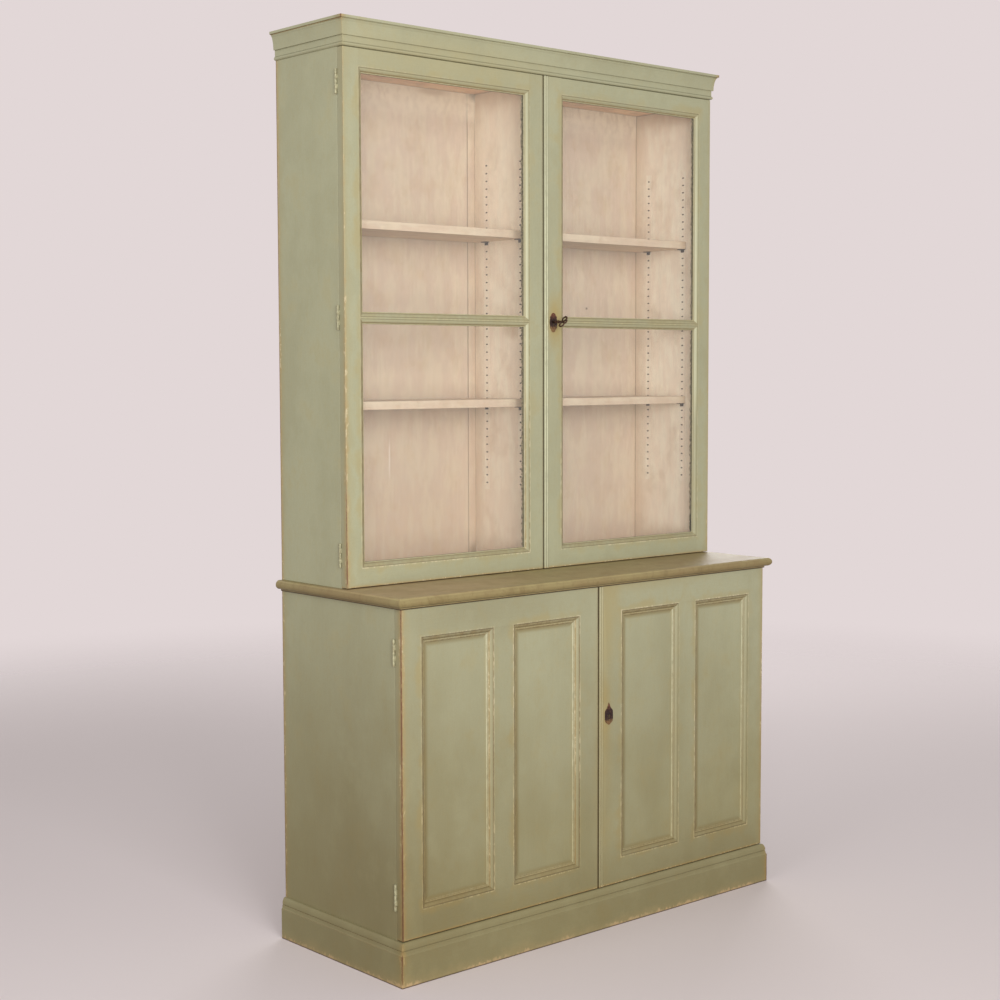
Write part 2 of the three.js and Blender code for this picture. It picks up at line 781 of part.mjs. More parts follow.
// The key: a shank, a bow of three loops turned by the tilt, and a bit inside the lock
function keySolid() {
  const middle = (doorFace + doorBack) / 2;
  const bowY = doorFace - keyBowDistance;
  const bitHalf = boltThickness / 2;
  let key = rod(keyShankRadius, bowY, middle + bitHalf, 'y', 0, 0);
  const loops = [[bowY, keyLoopSpread], [bowY, -keyLoopSpread], [bowY - keyLoopSpread, 0]];
  const halfBow = keyBowThickness / 2;
  const loopSolid = (y, z, radius, reach) => {
    const circle = arc(y, z, radius, radius, 0, 2 * Math.PI, roundSides).slice(0, roundSides);
    return alongX(circle, -reach, reach);
  };
  for (const [y, z] of loops) {
    key = key.add(loopSolid(y, z, keyLoopRadius, halfBow));
  }
  for (const [y, z] of loops) {
    key = key.subtract(loopSolid(y, z, keyLoopHoleRadius, halfBow + keyShankRadius + overrun));
  }
  return key.add(block(
    -keyBitWidth / 2, keyBitWidth / 2, middle - bitHalf, middle + bitHalf,
    -keyShankRadius - keyBitLength, 0,
  ));
}

// Lock furniture, which rides on a keyed door
function makeUpperLock(door) {
  const x = -(door.end - upperLockInset);
  const place = new THREE.Vector3(x, 0, upperDoor.barHeight);
  piece(door.group, 'upper_escutcheon', lockPlate(scallopedPlate()), bronze, place);
  const key = piece(door.group, 'key', keySolid(), bronze, place);
  key.rotation.y = keyTilt;
  const edge = door.end - boltEdgeMargin;
  const tail = door.end - boltTail;
  const middle = (doorFace + doorBack) / 2;
  const bolt = doorBlock(
    -1, tail, edge, upperDoor.barHeight - boltHeight / 2, upperDoor.barHeight + boltHeight / 2,
    middle - boltThickness / 2, middle + boltThickness / 2,
  );
  piece(door.group, 'lock_bolt', bolt, bronze);
}

function makeLowerLock(door) {
  const place = new THREE.Vector3(-(door.end - lowerLockInset), 0, lowerLockHeight);
  piece(door.group, 'lower_escutcheon', lockPlate(shieldPlate()), bronze, place);
}

function makeDoors() {
  const levels = [
    {
      level: 'upper', group: upperCase, front: upperCaseFront,
      bottom: upperDoorBottom, height: upperDoorHeight, sizes: upperDoor,
      hinges: upperHinges, length: upperHingeLength, names: ['bottom', 'middle', 'top'],
      makeLock: makeUpperLock,
    },
    {
      level: 'lower', group: lowerCase, front: lowerCaseFront,
      bottom: lowerDoorBottom, height: lowerDoorHeight, sizes: lowerDoor,
      hinges: lowerHinges, length: lowerHingeLength, names: ['bottom', 'top'],
      makeLock: makeLowerLock,
    },
  ];
  for (const { level, group, front, bottom, height, sizes, hinges, length, names, makeLock } of levels) {
    for (const [side, name] of sideNames) {
      const hand = -side;
      const axis = new THREE.Vector3(side * (halfWidth + hingePinOffset), -front - doorGap / 2, bottom);
      const rises = hinges.map((middle) => middle - bottom);
      const door = makeDoor(level, name, hand, axis, height, sizes, rises, length);
      rises.forEach((rise, index) => {
        makeHinge(group, `${level}_${name}_${names[index]}_hinge`, hand, axis, rise, length);
      });
      if (hand < 0) {
        makeLock(door);
      }
    }
  }
}

makePlinth();
makeLowerCase();
makeWorktop();
makeUpperCase();
makeShelves();
makeCornice();
makeDoors();

export default bookcase;
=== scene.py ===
import json
import math
import random

import bmesh
import bpy
from mathutils import Matrix, Vector


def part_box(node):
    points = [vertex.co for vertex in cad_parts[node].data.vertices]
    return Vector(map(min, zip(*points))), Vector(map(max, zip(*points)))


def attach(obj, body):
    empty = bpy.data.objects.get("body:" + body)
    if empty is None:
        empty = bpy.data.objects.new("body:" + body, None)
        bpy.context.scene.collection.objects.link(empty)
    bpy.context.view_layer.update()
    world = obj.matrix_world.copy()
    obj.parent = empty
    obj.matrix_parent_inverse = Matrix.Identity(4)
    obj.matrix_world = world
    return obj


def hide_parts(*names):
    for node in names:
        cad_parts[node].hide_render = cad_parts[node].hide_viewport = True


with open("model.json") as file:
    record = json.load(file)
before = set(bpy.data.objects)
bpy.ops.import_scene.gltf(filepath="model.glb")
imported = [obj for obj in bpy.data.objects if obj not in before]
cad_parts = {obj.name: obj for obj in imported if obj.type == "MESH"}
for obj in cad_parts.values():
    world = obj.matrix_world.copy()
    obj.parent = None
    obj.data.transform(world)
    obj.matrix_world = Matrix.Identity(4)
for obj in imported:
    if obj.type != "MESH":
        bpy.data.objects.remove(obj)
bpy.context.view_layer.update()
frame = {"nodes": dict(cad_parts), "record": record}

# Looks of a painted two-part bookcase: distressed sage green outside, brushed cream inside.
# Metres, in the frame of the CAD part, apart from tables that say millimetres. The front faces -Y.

MM = 0.001
WELD = 1e-5
FLAT_ANGLE = math.radians(0.5)
SHARP_ANGLE = math.radians(30)
FAR = 1.0

# Distances are stored in colours, which hold 0 to 1, as shares about a middle
STORED_MIDDLE = 0.5
STORED_SHARE = 0.2

# Sizes that the CAD part uses too
BOARD = 20 * MM
DOOR_GAP = 1 * MM
STICKING_WIDTH = 12 * MM
STICKING_DEPTH = 10 * MM
PEG_ROWS = (60 * MM, 191 * MM)
PEG_STRIP_WIDTH = 19 * MM
PEG_STRIP_RISE = 195 * MM
PEG_STRIP_DROP = 170 * MM
HINGE_PIN_OFFSET = 3.5 * MM
HINGE_LEAF_WIDTH = 18 * MM
HINGE_LEAF_THICKNESS = 2 * MM
HINGE_BARREL_RADIUS = 3 * MM
HINGE_KNUCKLES = 5
KEY_TILT = math.radians(37)

# Sizes of the detail that is only made here
PLANK_WIDTH = 152 * MM
SLIP_WIDTH = 4.5 * MM
SLIP_END = STICKING_WIDTH + SLIP_WIDTH
EASED_EDGE = 0.8 * MM
FINE_EDGE = 0.4 * MM
TOUCH = 0.05 * MM

SIDES = (("left", -1), ("right", 1))
SHELVES = [f"{height}_shelf_{side}" for height in ("low", "high") for side in ("left", "right")]


def srgb(red, green, blue):
    """A colour given in 8-bit screen values, as linear light."""
    def linear(value):
        share = value / 255
        return share / 12.92 if share <= 0.04045 else ((share + 0.055) / 1.055) ** 2.4
    return (linear(red), linear(green), linear(blue), 1.0)


GREEN = srgb(167, 166, 136)
GREEN_DEEP = srgb(161, 159, 129)
OCHRE = srgb(164, 146, 94)
WARM_OCHRE = srgb(172, 146, 98)
# Glaze colours, also laid on as painted shade in quirks, grooves, gaps and corners
GLAZE_AND_SHADE = srgb(112, 90, 56)
DARK_GLAZE_AND_SHADE = srgb(84, 66, 40)
RED_BROWN = srgb(112, 78, 50)
CREAM_WEAR = srgb(216, 204, 168)
# A pale cream for painted highlights, and for worn reeds and arrises
WEAR_AND_HIGHLIGHT_CREAM = srgb(200, 200, 168)
# Painted shade towards the floor, mixed with brown dirt
FLOOR_SHADE_AND_DIRT = (0.74, 0.68, 0.54, 1.0)
OLIVE_SHADE = srgb(118, 108, 74)
SCUFF = srgb(188, 160, 118)
# Dark dirt, also laid on as painted shade in deep gaps, under the worktop nose and along the foot
DARK_DIRT_AND_SHADE = srgb(58, 42, 28)
WORKTOP = srgb(162, 148, 100)
WORKTOP_DEEP = srgb(150, 131, 88)
# The worktop's stain, also laid on as painted shade in the corners of the bays
WORKTOP_STAIN_AND_SHADE = srgb(118, 95, 55)
WORN_TOP = srgb(198, 172, 136)
INTERIOR = srgb(211, 193, 167)
INTERIOR_ROSY = srgb(206, 184, 161)
# A lighter copy of the interior cream for the inner sides and the partition: painted light, matching faces
# that catch more of it
INNER_SIDE_LIT_CREAM = srgb(242, 230, 207)
INNER_SIDE_LIT_ROSY = srgb(238, 221, 198)
# Stain in the cream, also laid on as painted shade
INTERIOR_STAIN_AND_SHADE = srgb(184, 148, 104)
PEG_LIT_CREAM = srgb(240, 228, 206)
# The peg strips, as light as the inner sides they sit on: painted light
PEG_LIT_ROSY = srgb(236, 219, 197)
SHELF = srgb(220, 200, 171)
SHELF_ROSY = srgb(213, 188, 160)
# The ceiling's cream, warmer than the rest of the interior as painted warm light bounced up from the floor
CEILING_WARM_LIT_CREAM = srgb(242, 208, 168)
CEILING_WARM_LIT_ROSY = srgb(234, 192, 152)
PALE_SCRATCH = srgb(240, 232, 218)
# A pale cream laid on as painted light
PAINTED_LIGHT_CREAM = srgb(253, 240, 214)
BARE_WOOD = srgb(164, 136, 102)
BARE_WOOD_DEEP = srgb(120, 94, 66)
BRONZE = srgb(62, 42, 34)
BRONZE_WORN = srgb(128, 96, 66)
BRASS_RED = srgb(104, 66, 48)
BRASS_BLACK = srgb(46, 30, 26)
BRASS_GOLD = srgb(130, 100, 66)
IRON_PAINT = srgb(143, 139, 109)
IRON_CHIP = srgb(172, 167, 134)
PUTTY = srgb(140, 128, 98)
PUTTY_DEEP = srgb(84, 72, 52)
CLEAR_GLASS = srgb(238, 240, 236)
BACKDROP = srgb(226, 215, 215)
FLOOR_BOUNCE = srgb(128, 100, 78)
WORLD_TINT = (1.0, 0.985, 0.965, 1.0)

BODY_OF = {
    node: body for body, nodes in frame["record"]["behaviour"]["bodies"].items() for node in nodes
}


# Node trees
class Value:
    """The output of a node, with sums, products, fades and noise made from it by further nodes."""

    def __init__(self, tree, socket):
        self.tree, self.socket = tree, socket

    def __add__(self, other):
        return self.tree.math("ADD", self, other)

    def __sub__(self, other):
        return self.tree.math("SUBTRACT", self, other)

    def __mul__(self, other):
        return self.tree.math("MULTIPLY", self, other)

    def __truediv__(self, other):
        return self.tree.math("DIVIDE", self, other)

    def __abs__(self):
        return self.tree.math("ABSOLUTE", self)

    def part(self, index):
        return self.tree.out("SeparateXYZ", {0: self}, index)

    def length(self):
        return self.tree.out("VectorMath", {0: self}, "Value", operation="LENGTH")

    def fade(self, start, end, first=0.0, last=1.0):
        """Runs smoothly from one value to another as this one goes from start to end."""
        inputs = dict(enumerate((self, start, end, first, last)))
        return self.tree.out("MapRange", inputs, interpolation_type="SMOOTHSTEP")

    def fall(self, start, end, first=1.0):
        return self.fade(start, end, first, 0.0)

    def band(self, start, full, still_full, end, height=1.0):
        """A share that comes in smoothly, and goes out again further on."""
        return self.fade(start, full) * self.fall(still_full, end, height)

    def swing(self, reach, low=0.3, high=0.7):
        """Noise as a number that goes up to a reach either side of 0."""
        return self.fade(low, high, -reach, reach)

    def noise(self, across, along, detail=3.0, roughness=0.55):
        """Noise about 0.5, with its scale in waves a metre across a vector's Z and along it."""
        scaled = self.tree.vector("MULTIPLY", self, (across, across, along))
        inputs = {"Vector": scaled, "Scale": 1.0, "Detail": detail, "Roughness": roughness}
        return self.tree.out("TexNoise", inputs)


class Nodes:
    """Short calls for the nodes of a tree."""

    def __init__(self, tree):
        self.nodes, self.links = tree.nodes, tree.links

    def node(self, kind, inputs=None, **settings):
        made = self.nodes.new("ShaderNode" + kind)
        for key, value in settings.items():
            setattr(made, key, value)
        for key, value in (inputs or {}).items():
            self.put(made.inputs[key], value)
        return made

    def out(self, kind, inputs=None, output=0, **settings):
        return Value(self, self.node(kind, inputs, **settings).outputs[output])

    def put(self, socket, value):
        if isinstance(value, Value):
            self.links.new(value.socket, socket)
        else:
            socket.default_value = value

    def math(self, operation, first, *others, clamp=False):
        """An operation on one value, or taken along several, such as their sum."""
        if not others:
            return self.out("Math", {0: first}, operation=operation)
        for other in others:
            first = self.out("Math", {0: first, 1: other}, operation=operation, use_clamp=clamp)
        return first

    def least(self, *values):
        return self.math("MINIMUM", *values)

    def most(self, *values):
        return self.math("MAXIMUM", *values)

    def vector(self, operation, first, second, output=0):
        return self.out("VectorMath", {0: first, 1: second}, output, operation=operation)

    def mix(self, share, first, second, blend="MIX"):
        inputs = {0: share, 6: first, 7: second}
        return self.out("Mix", inputs, 2, data_type="RGBA", blend_type=blend)

    def light_path(self):
        """1 for rays that see a surface itself, 0 for those that carry its light."""
        outputs = self.node("LightPath").outputs
        seen = ("Is Camera Ray", "Is Glossy Ray", "Is Transmission Ray")
        return self.most(*(Value(self, outputs[name]) for name in seen))


class Material(Nodes):
    """A material with one shader, whose colour is laid on in coats. Distances are in millimetres."""

    def __init__(self, name, ground):
        self.material = bpy.data.materials.new(name)
        self.material.use_nodes = True
        super().__init__(self.material.node_tree)
        self.shader = self.nodes["Principled BSDF"]
        self.place = self.out("TexCoord", output="Object")
        self.grain = self.out("Attribute", output="Vector", attribute_name="grain")
        self.height = self.place.part(2) / MM
        self.colour = ground

    def over(self, tint, share, *others):
        """Lays a tint over the colour, as thick as the product of the shares."""
        for other in others:
            share = share * other
        self.colour = self.mix(share, self.colour, tint)

    def vary(self, *shares):
        """Makes the colour lighter and darker by the sum of shares about 0."""
        inputs = {"Value": self.math("ADD", 1.0, *shares), "Color": self.colour}
        self.colour = self.out("HueSaturation", inputs)

    def stain_and_painted_light(self, spots, patchy):
        """Lays on soft spots, stains and painted light and shade, each with its middle, its reach, its
        strength and its tint.
        """
        for centre, reach, strength, tint in spots:
            away = self.vector("SUBTRACT", self.place, [value * MM for value in centre])
            share = self.vector("MULTIPLY", away, [1 / (value * MM) for value in reach])
            self.over(tint, share.length().fall(0.15, 1.0), strength, patchy)

    def distances(self, attribute):
        """The distances to the left, right, bottom and top sides, held in a colour attribute."""
        held = self.node("Attribute", attribute_name=attribute)
        colours = self.node("SeparateColor", {0: Value(self, held.outputs["Color"])}).outputs
        stored = (*colours[:3], held.outputs["Alpha"])
        return [(Value(self, socket) - STORED_MIDDLE) / (STORED_SHARE * MM) for socket in stored]

    def depths(self):
        """How far a point lies below the face of its door, and how far it stands proud or in a groove."""
        held = self.out("Attribute", output="Vector", attribute_name="depths")
        return [held.part(index) / MM for index in (0, 1)]

    def opening(self, top_share):
        """How far a point lies inside the nearer opening, and how well that side catches the light.

        The second is 1 on the right, a half at the bottom, a given share at the top, and 0 on the left.
        """
        insides = []
        lights = []
        for attribute in ("opening_a", "opening_b"):
            sides = self.distances(attribute)
            lit = 0.0
            for index, share in ((1, 1.0), (2, 0.5), (3, top_share)):
                nearer = self.least(*sides[:index], *sides[index + 1:]) - sides[index]
                lit = self.most(lit, nearer.fade(-0.5, 0.5, 0.0, share))
            insides.append(self.least(*sides))
            lights.append(lit)
        in_second = self.math("GREATER_THAN", insides[1], insides[0])
        return self.most(*insides), lights[0] + in_second * (lights[1] - lights[0])

    def convex(self, radius, start, end):
        """1 on sharp edges, falling to 0 within a radius of them."""
        eased = self.out("Bevel", {"Radius": radius * MM}, samples=4)
        level = self.vector("DOT_PRODUCT", eased, self.out("NewGeometry", output="Normal"), "Value")
        return self.math("SUBTRACT", 1.0, level, clamp=True).fade(start, end)

    def bump(self, height, depth, strength):
        inputs = {"Height": height, "Distance": depth * MM, "Strength": strength}
        self.put(self.shader.inputs["Normal"], self.out("Bump", inputs))

    def finish(self, roughness, metallic=0.0):
        self.put(self.shader.inputs["Base Color"], self.colour)
        self.put(self.shader.inputs["Roughness"], roughness)
        self.shader.inputs["Metallic"].default_value = metallic
        return self.material


# Stretches across a moulding, in millimetres inward from its quirk: where each starts, is full and ends
ARRIS = (-4.5, -1.2)
QUIRK = (-0.2, 0.0, 0.9, 2.4)
OVOLO = (0.4, 1.6, 8.0, 9.5)
HOLLOW_MIDDLE = 9.4
LIP = (9.9, 10.5)
JOINT = (11.5, 11.8, 12.3, 15.5)
ON_SLIP = (12.0, 12.5, 15.0, 16.5)
SLIP_CREST = 14.9
PANEL_SHADE = (12.0, 12.5, 16.5, 28.0)

# Depths below the face of a door in millimetres, where the parts of its mouldings start
FACE_DEPTHS = (0.1, 0.4)
BELOW_FACE = (0.3, 0.9)
LIP_DEPTHS = (7.5, 8.2)
CREST_DEPTHS = (8.0, 8.3)
SLIP_DEPTHS = (8.7, 9.0)
JOINT_DEPTHS = (8.8, 9.3)
PANEL_DEPTHS = (9.6, 9.9)


class GreenPaint(Material):
    """Brushed paint under an ochre glaze, which lies in the quirks and is worn off the arrises. The
    mouldings also carry painted light and shade by the side of an opening that they face, and the paint has
    painted shade towards the floor.
    """

    def __init__(self, name, main, deep, soil, floor_shade_height, spots, roughness=0.58, blotch=0.2):
        super().__init__(name, main)
        self.soil = soil
        self.sunk, self.relief = self.depths()
        self.high_up = self.height.fade(1200, 1400)
        self.near_top = self.height.fade(1750, 2050, 1.0, 0.4)
        self.inside, self.lit = self.opening(self.high_up * 0.7)
        self.well_lit = self.math("POWER", self.lit, 2.0)
        hung, self.seam, foot, end = self.distances("rims")
        self.rim = self.least(hung, foot, end)

        brush = self.grain.noise(600, 22, 2)
        speckle = self.place.noise(330, 330, 3, 0.7)
        self.mottle = self.place.noise(14, 12, 5, 0.6)
        self.cloud = self.place.noise(5, 4)
        self.chips = self.place.noise(170, 60, 4, 0.65)
        self.flakes = self.place.noise(100, 50, 5, 0.7)
        self.worn = self.cloud.fade(0.44, 0.56, 0.2, 1.0)
        self.wobble = self.mottle.swing(10)
        self.speckled = speckle.fade(0.3, 0.6, 0.7, 1.0)

        tone = self.grain.noise(6, 2, 2) * 0.5 + self.mottle * 0.5
        self.colour = self.mix(tone.fade(0.38, 0.6), deep, main)
        self.over(soil, self.mottle.fade(0.52, 0.7, 0.0, blotch))
        self.over(soil, self.flakes.fade(0.5, 0.66, 0.0, blotch * 0.6))
        self.vary(brush.swing(0.02, 0.25, 0.75), speckle.swing(0.03))
        self.stain_and_painted_light(spots, self.mottle.fade(0.3, 0.55, 0.55, 1.0))
        self.rub_glaze_and_shade()
        self.wear_arrises()
        self.shade_seam()
        self.line_mouldings()
        self.line_slips()
        self.line_beads()
        self.shade_and_soil_foot(floor_shade_height)
        self.bump(brush * 0.6 + speckle * 0.4, 0.08, 0.4)
        self.finish(tone.fade(0.3, 0.7, roughness + 0.04, roughness - 0.04))

    def between(self, shaded, bright):
        """One value beside the shaded left and top sides of an opening, another beside the lit right and
        bottom, for painted light and shade.
        """
        return self.lit.fade(0.0, 1.0, shaded, bright)

    def ragged(self, value, reach):
        """A distance with an uneven edge."""
        return value + self.flakes.swing(reach, 0.35, 0.65)

    def rub_glaze_and_shade(self):
        """Glaze rubbed in softly near the outer edges and round the openings, with painted shade: more of
        it inside the shaded sides of an opening and less outside the lit ones.
        """
        near_rim = (self.rim + self.wobble).fall(0, 30, 0.5)
        round_out = (self.inside + self.wobble).fade(-18, 0, 0.0, 0.36) * self.lit.fade(0.4, 1.0, 1.0, 0.4)
        round_in = self.between(0.5, 0.2) * self.inside.fall(SLIP_END / MM, 26)
        round_opening = self.mix(self.sunk.fade(5, 9), round_out, round_in)
        self.over(self.soil, self.most(near_rim, round_opening), self.mottle.fade(0.36, 0.56, 0.35, 1.0))

    def wear_arrises(self):
        """Outer arrises: a warm halo, a red-brown line, and chips beside it where the paint is worn."""
        ragged_rim = self.ragged(self.rim, 3.5)
        self.over(WARM_OCHRE, ragged_rim.fall(2, 13, 0.6))
        line = self.rim.fall(1.6, 3.4) * self.worn.fade(0.2, 1.0, 1.0, 0.75)
        self.over(RED_BROWN, line, self.chips.fade(0.36, 0.5, 0.5, 1.0))
        beside = self.rim.fade(1.8, 2.8) * ragged_rim.fall(5, 9)
        self.over(CREAM_WEAR, beside, self.chips.fade(0.52, 0.6, 0.0, 0.75), self.worn)

    def shade_seam(self):
        """Painted shade along the meeting edge of a left-hand door, darkest where the seam is widest just
        under the worktop.
        """
        self.over(OLIVE_SHADE, self.ragged(self.seam, 1).fall(0.5, 6, 0.35))
        self.over(DARK_GLAZE_AND_SHADE, self.seam.fall(1.2, 2.4, 0.75))
        self.over(DARK_DIRT_AND_SHADE, self.seam.fall(1.8, 2.6, 0.95), self.height.band(730, 770, 880, 890))

    def line_mouldings(self):
        """The arris, the ovolo, the quirk, the hollow, the lip and the joint with the panel or pane.
        Besides the wear, they carry painted light and shade: the ovolo, quirk, hollow and joint are darker
        on the shaded sides, the lit ovolo is paler on the upper doors and toned down on the lower ones, and
        the lip's chips are stronger where lit.
        """
        arris = self.inside.fade(*ARRIS) * self.sunk.fall(*FACE_DEPTHS)
        arris_wear = self.chips.fade(0.48, 0.56, 0.1, 0.6) * self.worn.fade(0.0, 1.0, 0.35, 1.0)
        self.over(CREAM_WEAR, arris, arris_wear, self.high_up.fade(0.0, 1.0, 1.0, 0.3))
        below = self.sunk.fade(*BELOW_FACE)
        ovolo = self.inside.band(*OVOLO) * below
        # Painted shade on the ovolo of the shaded sides, with glaze
        self.over(GLAZE_AND_SHADE, ovolo, self.flakes.fade(0.4, 0.6, 0.25, 0.55), self.between(1.0, 0.0))
        # Painted highlight on the lit ovolo of the upper doors, toned down with painted shade on the lower
        # doors
        lit_ovolo = ovolo * self.well_lit
        self.over(WEAR_AND_HIGHLIGHT_CREAM, lit_ovolo, self.high_up, self.near_top, 0.45)
        self.over(OLIVE_SHADE, lit_ovolo, self.high_up.fall(0.0, 1.0, 0.14))
        # A dark line in the quirk: dark glaze and painted shade, stronger on the shaded sides
        quirk = self.inside.band(*QUIRK) * below
        self.over(DARK_GLAZE_AND_SHADE, quirk, self.speckled, self.between(0.95, 0.25))
        # Dark lines at the hollow and at the joint: glaze and painted shade, stronger on the shaded sides
        hollow = abs(self.inside - HOLLOW_MIDDLE).fall(0.3, 1.2) * below
        above_slip = self.sunk.fall(*SLIP_DEPTHS)
        self.over(GLAZE_AND_SHADE, hollow, above_slip, self.between(0.6, 0.3))
        lip = self.inside.fade(*LIP) * self.sunk.fade(*LIP_DEPTHS) * above_slip
        # Pale chips on the lip, stronger on the lit sides as painted highlight
        self.over(CREAM_WEAR, lip, self.chips.fade(0.42, 0.52, 0.0, 0.25), self.between(0.6, 1.0))
        joint = self.inside.band(*JOINT) * self.sunk.fade(*JOINT_DEPTHS)
        self.over(GLAZE_AND_SHADE, joint, self.speckled, self.between(0.75, 0.4))

    def line_slips(self):
        """The slip round a panel, its pale crest, and the shade that it throws on the panel, all painted
        light and shade: the slip is darker on the shaded sides and toned down on the lit ones, the crest is
        a painted highlight where lit, and the shade is a painted shadow.
        """
        above_panel = self.sunk.fall(*PANEL_DEPTHS)
        on_slip = self.inside.band(*ON_SLIP) * above_panel
        # Painted shade on the slip of the shaded sides, and toned down with painted shade where lit
        self.over(GLAZE_AND_SHADE, on_slip, self.flakes.fade(0.4, 0.6, 0.35, 0.65), self.between(1.0, 0.1))
        self.over(OLIVE_SHADE, on_slip, 0.2, self.lit)
        # A painted highlight on the slip's crest, where lit
        crest = abs(self.inside - SLIP_CREST).fall(0.4, 1.3) * above_panel * self.sunk.fade(*CREST_DEPTHS)
        self.over(WEAR_AND_HIGHLIGHT_CREAM, crest, self.chips.fade(0.4, 0.55, 0.3, 0.6), self.well_lit)
        # The painted shadow that the slip throws on the panel of the shaded sides
        shade = self.inside.band(*PANEL_SHADE, 0.6) * self.sunk.fade(*PANEL_DEPTHS)
        self.over(OLIVE_SHADE, shade, self.between(1.0, 0.0))

    def line_beads(self):
        """Where the relief is above 0, beads, arrises and undersides stand out pale, wear mixed with
        painted highlight and painted light; where it is below 0, grooves, gaps and door edges are dark with
        painted shade.
        """
        # Painted highlight mixed with wear on proud lines, less low down and near the top
        crest = self.relief.fade(0.2, 1.1) * self.flakes.fade(0.38, 0.55, 0.5, 0.95)
        self.over(WEAR_AND_HIGHLIGHT_CREAM, crest, self.height.fade(800, 1300, 0.2, 1.0), self.near_top)
        # Painted shade in grooves and gaps, darkest in the deepest
        self.over(DARK_GLAZE_AND_SHADE, self.relief.fall(-1.3, -0.2, 0.8), self.speckled)
        self.over(DARK_DIRT_AND_SHADE, self.relief.fall(-3.0, -1.6, 0.8))

    def shade_and_soil_foot(self, floor_shade_height):
        """Browner and darker towards the floor, painted shade mixed with dirt, with scuffs and a dark line
        along the foot, also painted shade mixed with dirt.
        """
        # Painted shade mixed with dirt: darker and browner up to the given height
        floor_shade = (self.height + self.cloud.swing(100)).fall(0, floor_shade_height)
        self.colour = self.mix(floor_shade, self.colour, FLOOR_SHADE_AND_DIRT, "MULTIPLY")
        self.over(WARM_OCHRE, (self.height + self.wobble).fall(0, 30, 0.2))
        scuffs = self.ragged(self.height, 5).fall(3, 10, 0.8)
        self.over(SCUFF, scuffs, self.cloud.fade(0.42, 0.55, 0.1, 1.0))
        self.over(DARK_DIRT_AND_SHADE, self.height.fall(1, 4, 0.9))


def cream_paint(name, main, rosy, stain_and_painted_light=INTERIOR_STAIN_AND_SHADE, spots=(), nook_share=0.2, nook_reach=26):
    """Cream brushed on thinly, in yellower and pinker patches, with specks, darker in the corners as
    painted shade mixed with grime, and dark lines of painted shade right in the corners and along the edges
    of the cover strip.
    """
    paint = Material(name, main)
    streaks = paint.grain.noise(180, 3)
    brush = paint.grain.noise(450, 30, 2)
    mottle = paint.place.noise(16, 13, 5, 0.6)
    dapple = paint.place.noise(55, 40, 3, 0.6)
    corner = paint.least(*paint.distances("rims"))

    paint.over(rosy, paint.grain.noise(34, 9, 4, 0.6).fade(0.4, 0.58))
    paint.over(stain_and_painted_light, mottle.fade(0.48, 0.72, 0.0, 0.26))
    paint.vary(brush.swing(0.02, 0.25, 0.75), streaks.swing(0.02), dapple.swing(0.03))
    # Darker in the corners: painted shade mixed with grime, then a dark line of painted shade right in them
    paint.over(stain_and_painted_light, (corner + mottle.swing(12)).fall(0, nook_reach, nook_share))
    paint.over(GLAZE_AND_SHADE, corner.fall(0.5, 3, 0.45))
    # A dark line of painted shade along the edges of the cover strip
    paint.over(GLAZE_AND_SHADE, paint.depths()[1].fall(-1.2, -0.2, 0.6))
    paint.over(DARK_DIRT_AND_SHADE, paint.place.noise(230, 230, 2).fade(0.76, 0.79, 0.0, 0.5))
    paint.stain_and_painted_light(spots, dapple.fade(0.3, 0.6, 0.6, 1.0))
    paint.bump(brush + streaks, 0.08, 0.5)
    return paint.finish(mottle.fade(0.3, 0.7, 0.68, 0.6))


def bare_wood():
    """Old unpainted boards, behind, under and on top of the cases."""
    wood = Material("bare_wood", BARE_WOOD_DEEP)
    figure = wood.grain.noise(60, 1.4, 4, 0.6)
    pores = wood.grain.noise(700, 12, 2)
    across = wood.grain.part(0) / PLANK_WIDTH
    plank = wood.out("TexWhiteNoise", {"W": wood.math("FLOOR", across)}, noise_dimensions="1D")
    tone = figure * 0.5 + wood.grain.noise(5, 3) * 0.3 + plank * 0.2
    wood.over(BARE_WOOD, tone.fade(0.3, 0.7))
    wood.over(DARK_DIRT_AND_SHADE, pores.fade(0.6, 0.75, 0.0, 0.4))
    # Joints between the planks, from 1.2 to 2.4 mm either side, as shares of a plank from its middle
    from_middle = abs(wood.math("FRACT", across) - 0.5)
    start_share, end_share = (0.5 - reach * MM / PLANK_WIDTH for reach in (2.4, 1.2))
    wood.over(DARK_DIRT_AND_SHADE, from_middle.fade(start_share, end_share, 0.0, 0.85))
    wood.bump(figure + pores, 0.2, 0.6)
    return wood.finish(0.8)


def dark_bronze():
    """Patinated metal, rubbed brighter on its edges."""
    metal = Material("dark_bronze", BRONZE)
    patina = metal.place.noise(350, 350, 4, 0.65)
    edge = metal.convex(0.6, 0.02, 0.15) * 0.7
    metal.over(BRONZE_WORN, metal.most(edge, patina.fade(0.5, 0.75, 0.0, 0.6)))
    metal.bump(patina, 0.1, 0.6)
    return metal.finish(patina.fade(0.3, 0.7, 0.38, 0.6), 0.6)


def keyhole_brass(name, middle, reach):
    """An old brass plate: nearly black round the keyhole, red-brown above it and rubbed golden below."""
    brass = Material(name, BRASS_BLACK)
    patina = brass.place.noise(300, 300, 4, 0.65)
    rise = (brass.height - middle.z / MM) / reach + patina.swing(0.25)
    brass.over(BRASS_RED, rise.fade(0.25, 0.75))
    brass.over(BRASS_GOLD, rise.fade(-0.4, -0.8))
    edge = brass.convex(0.8, 0.02, 0.2) * 0.5
    brass.over(BRASS_GOLD, brass.most(edge, patina.fade(0.58, 0.7, 0.0, 0.6)))
    brass.bump(patina, 0.25, 0.8)
    return brass.finish(patina.fade(0.3, 0.7, 0.34, 0.55), 0.45)


